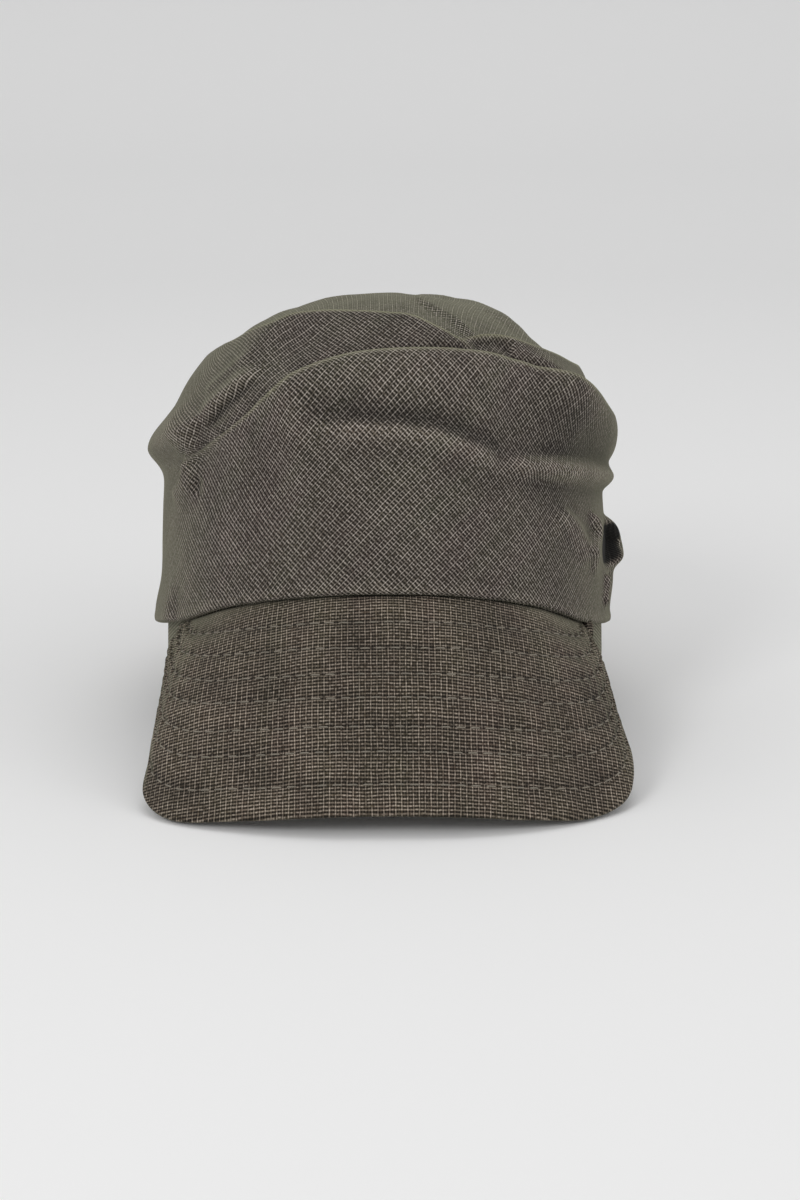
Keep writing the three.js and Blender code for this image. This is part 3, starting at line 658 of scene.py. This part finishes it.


# Painted light and shade: lighter where the outside stands above its surroundings, partly as worn edges,
# and painted shade in its valleys.
curvature_light_and_wear = np.clip((rolled_out - softened(rolled_out, 40)) / 0.8, -1, 1)
painted_light_and_wear = np.zeros(drape_points.shape[:2])
painted_light_and_wear[:DRAPE_ROWS] = softened(curvature_light_and_wear, 2)
front_lip, upper_lip, right_lip = (row[0] for row in FOLDS[:3])
# rim: a painted highlight, a thin bright line along the rims of the three lips.
rim = np.zeros(drape_points.shape[:2])
rim[:DRAPE_ROWS] = gathered([(front_lip, 1, 0.9, 1.2, 0), (upper_lip, 1.7, 0.9, 1.2, 0),
                             (right_lip, 1.3, 0.9, 1.2, 0)], outside_angle, outside_share)[0]
# Painted shade in the valley behind each lip, where the lip's shadow falls.
painted_shade_behind_lips = gathered([(front_lip, 1.4, 9, 0.3, 0), (upper_lip, 0.7, 0.3, 5, 0),
                    (right_lip, 0.7, 0.3, 5, 0)], outside_angle, outside_share)[0]
# SHADED: painted light and shade along the folds, lighter strokes on the tops of folds and darker ones
# where a fold lies in the shade of another.
SHADED = [([(35, 0.335), (48, 0.329), (62, 0.322), (84, 0.316)], -0.6, 2, 5, 0),
          ([(40, 0.395), (58, 0.385), (80, 0.372)], -0.5, 9, 2, 0),
          ([(34, 0.374), (52, 0.368), (66, 0.36), (84, 0.35)], 1.1, 2, 5, 0),
          ([(-22, 0.445), (-4, 0.447), (11, 0.435), (21, 0.406), (29, 0.372)], 1.0, 1, 5, 0),
          ([(-20, 0.459), (-4, 0.461), (12, 0.45), (22, 0.421), (32, 0.395)], -0.8, 8, 1.5, 0),
          (FOLDS[3][0][:6], 0.8, 2, 3, 0),
          (HOLLOWS[1][0][:4], -0.7, 2, 2.5, 0),
          ([(34, 0.525), (52, 0.475), (66, 0.435), (84, 0.41)], -0.8, 10, 12, 0)]
painted_light_and_wear[:DRAPE_ROWS] += gathered(SHADED, outside_angle, outside_share)[0]
# Lighter along the rolled hem, and darker by the painted shade behind the lips, except on their rims.
painted_light_and_wear[:DRAPE_ROWS] += 0.6 * np.exp(-((above_hem / 3.2) ** 2)) - painted_shade_behind_lips * (1 - rim[:DRAPE_ROWS])
# Painted shade in the pocket: the depth mark darkens its mouth nearly to black, in place of the shadow of a
# deeper hollow.
pocket_shade_mask = (1 - ((outside_angle - 80.5 - (outside_share - 0.225) * 80) / 6.0) ** 2
         - ((outside_share - 0.225) / 0.043) ** 2)
depth = np.zeros(drape_points.shape[:2])
depth[:DRAPE_ROWS] = smoothstep(pocket_shade_mask, 0, 0.28)
hem_share_flat = low - np.linspace(0, 1, 11)[1:-1, None] * np.pi / 2 * HEM_ROLL / MERIDIAN
top_share_flat = high + np.linspace(0, 1, 7)[1:-1, None] * np.pi / 2 * DRAPE_WALL / MERIDIAN
flat_share = np.concatenate([outside_share, hem_share_flat, inside_share, top_share_flat])
flat_out = np.full(flat_share.shape, 2.0)
flat_out[:DRAPE_ROWS] = softened(rolled_out, 150)
plain_drape = over_crown(drape_angle, flat_share, flat_out) * MM
drape_cloth = on_the_bias(cloth_lengths(plain_drape, DRAPE_ROWS - 1, DRAPE_COLUMNS // 2, tube=True))
drape = shell("cap_drape", drape_points, drape_cloth, tube=True,
              marks={"painted_light_and_wear": painted_light_and_wear, "depth": depth, "rim": rim})
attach(drape, "root")
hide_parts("drape")
grid_u, grid_v = (length_of(np.diff(drape_points[:DRAPE_ROWS], axis=axis)) for axis in (1, 0))
print("drape's outside: area", (grid_u[:-1] * grid_v[:, :-1]).sum().round(4), "m2, mean height",
      grid_v.sum(axis=0).mean().round(3), "m, mean girth", grid_u.sum(axis=1).mean().round(3), "m")

# %% [markdown]
# ## Peak
#
# The peak is two cloths joined by seven rows of stitches. Each row runs across the peak at its own
# share of the way from root to edge, and the upper ones climb to the root at the sides. A row pulls
# the cloth into a shallow groove and puckers it between the stitches. The distance of every grid
# point from every row is worked out once, and grooves, puckers and thread all follow from it.

# %% Peak: the grid and its distance from each row of stitches
PEAK_COLUMNS = 380
PEAK_ROWS = 168
PEAK_END = 0.985
ROW_SHARES = np.array([0.141, 0.265, 0.386, 0.493, 0.62, 0.729, 0.869])
ROW_RISES = np.array([0.36, 0.36, 0.32, 0.14, 0.11, 0.07, 0.03])
STITCH_PITCH = 5.2
STITCH_LENGTH = 4.1
peak_across, peak_down = np.meshgrid(np.linspace(-PEAK_END, PEAK_END, PEAK_COLUMNS),
                                     np.linspace(0, 1, PEAK_ROWS))
peak_plain = peak_top(peak_across, peak_down)
peak_out = surface_normals(peak_plain)
edge_points = peak_plain[-1]
span = length_of(peak_plain[-1] - peak_plain[0])


def rows_at(grid, down):
    """A grid's values at other shares down each of its columns."""
    place_in = np.clip(down, 0, 1) * (PEAK_ROWS - 1)
    k = np.minimum(place_in.astype(int), PEAK_ROWS - 2)
    w = (place_in - k)[..., None]
    column = np.arange(PEAK_COLUMNS)[None, :]
    return grid[k, column] * (1 - w) + grid[k + 1, column] * w


def line_at(grid, share):
    """One row of a grid at a share of the way from root to edge."""
    return rows_at(grid, np.broadcast_to(share, (1, PEAK_COLUMNS)))[0]


def lengths_along(line):
    """The length of a line of points up to each of them."""
    return running(length_of(np.diff(line, axis=0)))


at_side = smoothstep(np.abs(peak_across[:1]), 0.55, 1.0)
row_shares = ROW_SHARES[:, None] - ROW_RISES[:, None] * at_side
aside = (peak_down - row_shares[:, None, :]) * span
along = np.stack([lengths_along(line_at(peak_plain, share)) for share in row_shares])
row_starts = np.array([0.4 + 1.9 * (k % 3) for k in range(len(ROW_SHARES))])
print("length of the peak's edge, mm:", round(float(lengths_along(edge_points)[-1])),
      "depth at its middle:", round(float(span[PEAK_COLUMNS // 2]), 1))

# %% Peak: grooves and puckers
steep = smoothstep(np.abs(peak_across), 0.35, 0.7)
sway = ripples(along, 11.0 * np.arange(len(ROW_SHARES))[:, None], (9, 40), 21)
sunk = np.exp(-((aside / 1.0) ** 2)).sum(axis=0)
wide = np.exp(-((aside / 3.2) ** 2))
phase = (along - row_starts[:, None] + (STITCH_PITCH - STITCH_LENGTH) / 2)
gathers = np.cos(2 * np.pi * phase / STITCH_PITCH + 0.9 * sway)
puckers = (wide * (gathers + 0.6 * sway)[:, None, :]).sum(axis=0)
peak_quiet = smoothstep(length_of(peak_plain - peak_plain[:1]), 0, 3)
relief = (-0.3 * sunk * (0.4 + 1.6 * steep) - 0.3 * wide.sum(axis=0) - 0.13 * puckers * (0.25 + 2.3 * steep)
          + 0.4 * ripples(peak_plain[..., 0], peak_down * span, (18, 60), 31))
peak_face = peak_plain + peak_out * (relief * peak_quiet)[..., None]
nearest_row = np.abs(aside).argmin(axis=0)
row_aside = np.take_along_axis(aside, nearest_row[None], axis=0)[0]
row_along = phase[nearest_row, np.arange(PEAK_COLUMNS)[None, :]]

# %% Peak: the upper cloth, rolled round the outer edge
EDGE_ROLL = 1.35


def peak_layer(depth):
    """Points of the plain peak at a depth: near the root down the crown's wall, beyond it inwards."""
    root_way = peak_root(peak_across, depth) - peak_root(peak_across, 0.0)
    blend = smoothstep(peak_down, 0, 0.3)[..., None]
    return peak_plain + root_way * (1 - blend) - peak_out * depth * blend


outward = unit(peak_plain[-1] - peak_plain[-2])


def near_edge(inward, depth):
    """Points beside the outer edge: so far inwards along the peak and so deep under its surface."""
    inward, depth = np.asarray(inward, float)[:, None, None], np.asarray(depth, float)[:, None, None]
    return edge_points[None] - outward[None] * inward - peak_out[-1][None] * depth


top_rows = np.linspace(0, 1, PEAK_ROWS)[:, None] * (1 - EDGE_ROLL / np.maximum(span, 4 * EDGE_ROLL))
swing = np.linspace(0, np.pi, 9)[1:]
roll = near_edge(EDGE_ROLL - EDGE_ROLL * np.sin(swing), EDGE_ROLL - EDGE_ROLL * np.cos(swing))
under_down = np.linspace(1, 0, 24)[:, None] * (1 - 3.0 / np.maximum(span, 8))
upper_points = np.concatenate([rows_at(peak_face, top_rows), roll,
                               rows_at(peak_layer(PEAK_UPPER_WALL), under_down)])


def straight_grain(points):
    """The place on the flat cloth of a peak's cloth: along its own slope, and round its bend."""
    middle = PEAK_COLUMNS // 2
    slope = unit(peak_plain[-1, middle] - peak_plain[0, middle])
    grid = np.concatenate([points, points[:1]], axis=0)
    level = np.stack([grid[..., 0], grid @ np.cross([1, 0, 0], slope)], axis=-1)
    step = length_of(np.diff(level, axis=1)) * np.sign(np.diff(level[..., 0], axis=1))
    u = running(step, 1)
    return np.stack([u - u[:, middle:middle + 1], grid @ slope], axis=-1)


def capped_tube(name, points, marks):
    """A tube of rows, open at its two ends, closed there with one many-sided face each."""
    rows, columns = points.shape[:2]
    cloth = straight_grain(points)
    corner_r, corner_c = grid_faces(rows, columns - 1)
    faces = [(corner_r % rows) * columns + corner_c, (np.arange(rows) * columns)[None, ::-1],
             (np.arange(rows) * columns + columns - 1)[None, :]]
    places = [cloth[corner_r, corner_c], cloth[:rows, 0][None, ::-1], cloth[:rows, -1][None]]
    return mesh_piece(name, laid_down(points).reshape(-1, 3), faces, places, marks)


def on_upper(values, elsewhere=0.0):
    """Values of the peak's face as marks on all points of the upper cloth."""
    mark = np.full(upper_points.shape[:2], elsewhere)
    mark[:PEAK_ROWS] = values
    return mark


# Painted light and shade on the peak: lighter on the puffed cloth, darker in the stitch grooves, most of
# all at the steep sides.
peak_painted_light = np.clip(0.5 + relief * 1.8 - 0.9 * steep * sunk, -1.8, 1.1)
peak_upper = capped_tube("cap_peak_upper", upper_points, {
    "painted_light_and_wear": on_upper(peak_painted_light), "row_aside": on_upper(row_aside, 9.0),
    "row_along": on_upper(row_along), "depth": on_upper(0.0)})
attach(peak_upper, "root")
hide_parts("peak_upper")

# %% Peak: the under cloth
UNDER_DEPTH = PEAK_UPPER_WALL + PEAK_GAP
under_shares = np.linspace(0, 1, 40)[:, None] * (1 - 3.2 / np.maximum(span, 8))
under_top = rows_at(peak_layer(UNDER_DEPTH + 0.15), under_shares)
under_low = rows_at(peak_layer(UNDER_DEPTH + PEAK_UNDER_WALL), under_shares)
under_edge = near_edge([2.9, 2.6, 2.9], [UNDER_DEPTH + 0.3, UNDER_DEPTH + 0.8, UNDER_DEPTH + 1.2])
under_points = np.concatenate([under_top, under_edge, under_low[::-1]])
peak_underside = capped_tube("cap_peak_underside", under_points,
                             {"painted_light_and_wear": np.zeros(under_points.shape[:2])})
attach(peak_underside, "root")
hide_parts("peak_underside")

# %% [markdown]
# ## Stitches
#
# A stitch is a short bow of thread that comes up through the cloth, lies in its groove and goes down
# again. Each row is a line on the peak's surface, and ends at the hem. All stitches are one mesh: the
# same small closed tube, bent along its own piece of the row, as arrays over stitches, sections and
# sides at once.

# %% Rows of stitches
THREAD_RADIUS = 0.3
SECTIONS, SIDES = 7, 6


def stitches(share, start, whole):
    """Closed six-sided tubes along one row: for each stitch, seven sections whose middles rise out of
    the cloth and whose ends dip into it. At the sides the thread is drawn deeper into the cloth."""
    line, out = line_at(peak_face, share), line_at(peak_out, share)
    starts = np.arange(start, whole[-1] - STITCH_LENGTH, STITCH_PITCH)
    starts = starts[np.interp(starts + STITCH_LENGTH / 2, whole, share) > 0.04]
    tau = np.linspace(-1, 1, SECTIONS)
    at = starts[:, None] + STITCH_LENGTH * (tau[None, :] + 1) / 2

    def on_line(values):
        return np.stack([np.interp(at, whole, values[:, axis]) for axis in range(3)], axis=-1)

    middle, up = on_line(line), on_line(out)
    beside_thread = np.cross(unit(np.gradient(middle, axis=1)), up)
    drawn_in = np.interp(starts, whole, 0.3 * steep[0])[:, None]
    rise = 0.16 - 0.55 * tau[None, :] ** 4 - drawn_in
    radius = THREAD_RADIUS * np.sqrt(np.clip(1.04 - tau**6, 0.02, 1))
    spin = np.arange(SIDES) * 2 * np.pi / SIDES
    ring = (np.cos(spin)[None, None, :, None] * beside_thread[:, :, None]
            + 0.8 * np.sin(spin)[None, None, :, None] * up[:, :, None])
    centre = middle + up * rise[..., None]
    return centre[:, :, None] + ring * radius[None, :, None, None]


all_stitches = np.concatenate([stitches(*row) for row in zip(row_shares, row_starts, along)])
count = len(all_stitches)
base = (np.arange(count) * SECTIONS * SIDES)[:, None, None]
section, side = grid_faces(SECTIONS - 1, SIDES)
quads = (section * SIDES + side % SIDES)[None, :, ::-1]
ends = np.stack([np.arange(SIDES)[::-1], (SECTIONS - 1) * SIDES + np.arange(SIDES)])[None]
thread_faces = [(base + quads).reshape(-1, 4), (base + ends).reshape(-1, SIDES)]
thread_points = laid_down(all_stitches.reshape(-1, 3))
thread_places = [np.zeros(face.shape + (2,)) for face in thread_faces]
thread = mesh_piece("cap_stitches", thread_points, thread_faces, thread_places)
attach(thread, "root")
print(count, "stitches in", len(ROW_SHARES), "rows")

# %% [markdown]
# ## Cloth
#
# The cloth is a plain weave of uneven yarns: thick and thin, warm grey and olive, with dark gaps
# between them. Its pattern is worked out from the piece's own places on the flat cloth: each thread
# has a rounded height, the higher of the two directions lies on top, the warps lie in pairs, and
# noise makes single threads lighter, darker, thicker or greener along their length.

# %% A small language for materials
class Value:
    """A number that varies over a surface. Arithmetic on it adds Math nodes."""

    def __init__(self, finish, socket):
        self.finish, self.socket = finish, socket

    def _with(self, operation, *others):
        return self.finish.math(operation, self, *others)

    def __add__(self, other):
        return self._with("ADD", other)

    def __sub__(self, other):
        return self._with("SUBTRACT", other)

    def __rsub__(self, other):
        return self.finish.math("SUBTRACT", other, self)

    def __mul__(self, other):
        return self._with("MULTIPLY", other)

    def __truediv__(self, other):
        return self._with("DIVIDE", other)

    def __pow__(self, other):
        return self._with("POWER", other)

    __radd__, __rmul__ = __add__, __mul__


class Finish:
    """A material, its shader and the nodes that feed it."""

    def __init__(self, name):
        self.material = bpy.data.materials.new(name)
        self.material.use_nodes = True
        self.nodes, self.links = self.material.node_tree.nodes, self.material.node_tree.links
        self.shader = self.nodes["Principled BSDF"]

    def feed(self, socket, value):
        if isinstance(value, Value):
            self.links.new(value.socket, socket)
        else:
            socket.default_value = value

    def add(self, kind, settings=None, sockets=None, out=0):
        """A node of a type, its settings first, then the values or links of its sockets."""
        node = self.nodes.new(kind)
        for key, setting in (settings or {}).items():
            setattr(node, key, setting)
        for key, value in (sockets or {}).items():
            self.feed(node.inputs[key], value)
        return Value(self, node.outputs[out])

    def math(self, operation, *values):
        return self.add("ShaderNodeMath", {"operation": operation}, dict(enumerate(values)))

    def mix(self, factor, low, high):
        """A colour between two colours."""
        return self.add("ShaderNodeMix", {"data_type": "RGBA"}, {0: factor, 6: low, 7: high}, out=2)

    def mark(self, name):
        """A number that the mesh carries at its points."""
        return self.add("ShaderNodeAttribute", {"attribute_name": name}, out=2)

    def look(self, sockets):
        """Values and links of the shader's sockets."""
        for key, value in sockets.items():
            self.feed(self.shader.inputs[key], value)

    def within(self, value):
        """The value held between 0 and 1."""
        return self.add("ShaderNodeClamp", {}, {"Value": value})

    def noise(self, vector, scale, detail=2.0):
        return self.add("ShaderNodeTexNoise", {}, {"Vector": vector, "Scale": scale, "Detail": detail})

    def vector(self, x, y, z=0.0):
        return self.add("ShaderNodeCombineXYZ", {}, {"X": x, "Y": y, "Z": z})


# %% The weave
WARP_STEP = 1.0
BIAS_WARP_STEP = 0.88
WEFT_STEP = 1.28
WEAVE_RELIEF = 0.00035


def colour(red, green, blue):
    """An sRGB colour of 0 to 255 as Blender's linear colour."""
    srgb = np.array([red, green, blue]) / 255
    linear = np.where(srgb <= 0.04045, srgb / 12.92, ((srgb + 0.055) / 1.055) ** 2.4)
    return (*linear.tolist(), 1.0)


def needle_hole_shade(f):
    """1 in the small holes between the stitches of each row, 0 elsewhere: the mask of the painted shade in
    the holes.
    """
    aside_row = f.mark("row_aside")
    along_row = f.mark("row_along")
    from_hole = f.math("PINGPONG", along_row, STITCH_PITCH / 2)
    return f.math("MAXIMUM", 1 - (aside_row / 0.75) ** 2 - (from_hole / 0.9) ** 2, 0.0)


GREY_YARNS = (colour(113, 99, 91), colour(103, 102, 81), colour(188, 179, 170))
BROWN_YARNS = (colour(118, 99, 86), colour(104, 98, 74), colour(190, 177, 162))


def woven(name, shade=1.0, green=0.3, warp_step=WARP_STEP, stitched=False, yarns=GREY_YARNS):
    """Cloth on a piece: the weave, its uneven yarns, broad patches, crests lighter by wear and painted
    light, painted shade in valleys, stitch grooves and the pocket, and a painted sheen at grazing angles.
    """
    f = Finish(name)
    cloth = f.add("ShaderNodeUVMap", {"uv_map": "cloth"})
    split = f.add("ShaderNodeSeparateXYZ", {}, {"Vector": cloth})
    u, v = split, Value(f, split.socket.node.outputs[1])

    def sway(far, near):
        return (f.noise(far, 0.05) - 0.5) * 1.2 + (f.noise(near, 0.45) - 0.5) * 0.35

    warp = u / warp_step + sway(cloth, cloth)
    weft = v / WEFT_STEP + sway(f.vector(v, u, 7.0), f.vector(v, u, 3.0))
    warp_at, weft_at = f.math("ROUND", warp), f.math("ROUND", weft)
    warp_yarn = f.noise(f.vector(warp_at * 0.731, v * 0.035, 1.0), 1.0, 1.0)
    weft_yarn = f.noise(f.vector(weft_at * 0.619, u * 0.035, 5.0), 1.0, 1.0)
    paired = f.math("COSINE", warp * np.pi)
    crossing = f.math("COSINE", weft * 2 * np.pi)
    warp_aside, weft_aside = (warp - warp_at) * 2, (weft - weft_at) * 2
    warp_high = ((1 - warp_aside ** 2 * (1.8 - warp_yarn)) * (paired * 0.22 + 0.76)
                 * (crossing * 0.25 + 0.75))
    weft_high = (1 - weft_aside ** 2 * (1.9 - weft_yarn)) * (0.68 - paired * 0.14)
    height = f.math("MAXIMUM", f.math("MAXIMUM", warp_high, weft_high), 0.0)
    warp_fleck = f.noise(f.vector(warp_at * 0.93, v * 0.8, 2.0), 1.0, 1.0)
    weft_fleck = f.noise(f.vector(weft_at * 0.87, u * 0.8, 6.0), 1.0, 1.0)
    warp_pale = f.within((warp_fleck * 3.2 + warp_yarn * 0.4 - 1.25) * 1.1)
    weft_pale = f.within((weft_fleck * 3.2 + weft_yarn * 0.4 - 1.3) * 1.1)
    warp_light = warp_pale * f.within(1 - (warp_aside * 1.8) ** 2) * (paired * 0.38 + 0.6)
    pale = f.math("MAXIMUM", warp_light * (crossing * 0.3 + 0.7),
                  weft_pale * f.within(1 - (weft_aside * 2.2) ** 2) * (0.5 - paired * 0.25))
    warp_on_top = f.math("GREATER_THAN", warp_high, weft_high)
    tone = warp_yarn * warp_on_top + weft_yarn * (1 - warp_on_top)
    greenness = f.noise(f.vector(warp_at * 0.11, v * 0.02, 9.0), 1.0) + f.noise(cloth, 0.02) - 1.0 + green
    yarn = f.mix(f.within(greenness * 1.6), yarns[0], yarns[1])
    # Marks: painted light and wear, painted shade in the pocket (depth), and the painted rim highlight.
    painted_light_and_wear, deep, rim = f.mark("painted_light_and_wear"), f.mark("depth"), f.mark("rim")
    # Painted sheen: where the surface turns away from the view, its colour goes lighter and greener.
    turned_away = f.add("ShaderNodeLayerWeight", {}, {"Blend": 0.5}, out=1)
    painted_sheen = f.within((turned_away - 0.44) * 1.9)
    patches = f.noise(cloth, 0.035, 3.0) * 0.7 + 0.65
    fuzz = f.noise(cloth, 2.6) * 0.5 + 0.75
    # Crests and rims lighter, valleys darker: painted light and shade, partly wear.
    light_and_wear = 1 + painted_light_and_wear * 0.45 + rim * 1.1
    light = f.within(height ** 1.5 * (tone * 1.3 + 0.4) * fuzz * patches * light_and_wear * shade)
    # Painted shade in the needle holes.
    if stitched:
        light = light * (1 - needle_hole_shade(f) * 0.6)
    dark = f.mix(light, colour(13, 10, 8), yarn)
    plain = f.mix(f.within(pale * (light * 0.9 + 0.25) * 1.3), dark, yarns[2])
    # The painted sheen's colours, also mixed in along the painted rim highlights.
    soft = f.mix(f.within(light * 0.6 + 0.25), colour(80, 79, 62), colour(152, 150, 125))
    with_painted_sheen = f.mix(f.within(painted_sheen * 0.75 + rim * 0.6), plain, soft)
    bump = f.add("ShaderNodeBump", {}, {"Height": height * 0.8 + pale * 0.2, "Strength": 0.7,
                                        "Distance": WEAVE_RELIEF})
    # The depth mark mixes in near-black: the pocket's painted shade.
    f.look({"Base Color": f.mix(deep * 0.96, with_painted_sheen, colour(8, 7, 6)), "Normal": bump, "Roughness": 0.92,
            "Sheen Weight": 0.04, "Sheen Roughness": 0.5, "Specular IOR Level": 0.2})
    return f.material


# %% Cloth on each piece
def dress(piece, material):
    piece.data.materials.clear()
    piece.data.materials.append(material)


# shade scales each piece's colour: on the drape and crown the cloth's own darkness, on the peak and under
# it also painted shade, as less light falls there.
dress(drape, woven("cloth_on_the_bias", shade=0.82, green=0.22, warp_step=BIAS_WARP_STEP))
dress(crown, woven("cloth_of_the_crown", green=0.7))
dress(peak_upper, woven("cloth_of_the_peak", shade=0.58, stitched=True, yarns=BROWN_YARNS))
dress(peak_underside, woven("cloth_under_the_peak", shade=0.52, yarns=BROWN_YARNS))

# %% Thread
def thread_finish():
    """Matt twisted thread, a little lighter than the cloth, uneven along its length."""
    f = Finish("thread")
    place_on = f.add("ShaderNodeTexCoord", {}, out=3)
    uneven = f.noise(place_on, 900.0)
    f.look({"Base Color": f.mix(uneven, colour(88, 82, 72), colour(146, 138, 124)), "Roughness": 0.8,
            "Sheen Weight": 0.1})
    return f.material


dress(thread, thread_finish())

# %% [markdown]
# ## Floor and light
#
# The cap lies on a plain pale floor that curves up behind it. Most of the light is that of the pale
# surroundings; a lamp in front at the left and two weaker ones, above and at the right, shape the
# folds.

# %% Floor
FLOOR_PROFILE = [(-2.5, 0), (1.2, 0), (1.6, 0.05), (1.9, 0.2), (2.1, 0.5), (2.2, 1.0), (2.2, 3.0)]
floor_points = [(x, y, z) for y, z in FLOOR_PROFILE for x in (-3.0, 3.0)]
floor_faces = [(2 * k, 2 * k + 1, 2 * k + 3, 2 * k + 2) for k in range(len(FLOOR_PROFILE) - 1)]
floor_mesh = bpy.data.meshes.new("floor")
floor_mesh.from_pydata(floor_points, [], floor_faces)
floor_mesh.polygons.foreach_set("use_smooth", np.ones(len(floor_faces), bool))
floor = bpy.data.objects.new("floor", floor_mesh)
bpy.context.scene.collection.objects.link(floor)
floor_finish = Finish("pale_floor")
floor_finish.look({"Base Color": (0.93, 0.93, 0.93, 1), "Roughness": 0.9})
dress(floor, floor_finish.material)


# %% Lamps
def lamp(name, position, target, size, power):
    """A square soft lamp at a position that shines at a target."""
    data = bpy.data.lights.new(name, "AREA")
    data.shape = "SQUARE"
    data.size = size
    data.energy = power
    thing = bpy.data.objects.new(name, data)
    place(thing, position, np.array(target, float) - np.array(position, float))


CAP_MIDDLE = (0.0, -0.02, 0.08)
lamp("lamp_in_front", (-0.9, -1.5, 1.1), CAP_MIDDLE, 0.6, 9)
lamp("lamp_above", (0.1, 0.1, 1.7), CAP_MIDDLE, 0.8, 3)
lamp("lamp_right", (1.4, -0.9, 0.8), CAP_MIDDLE, 1.0, 3)
world = bpy.data.worlds.new("surroundings")
world.use_nodes = True
background = world.node_tree.nodes["Background"]
background.inputs["Color"].default_value = (1, 1, 1, 1)
background.inputs["Strength"].default_value = 0.6
bpy.context.scene.world = world
bpy.context.scene.view_settings.view_transform = "Standard"
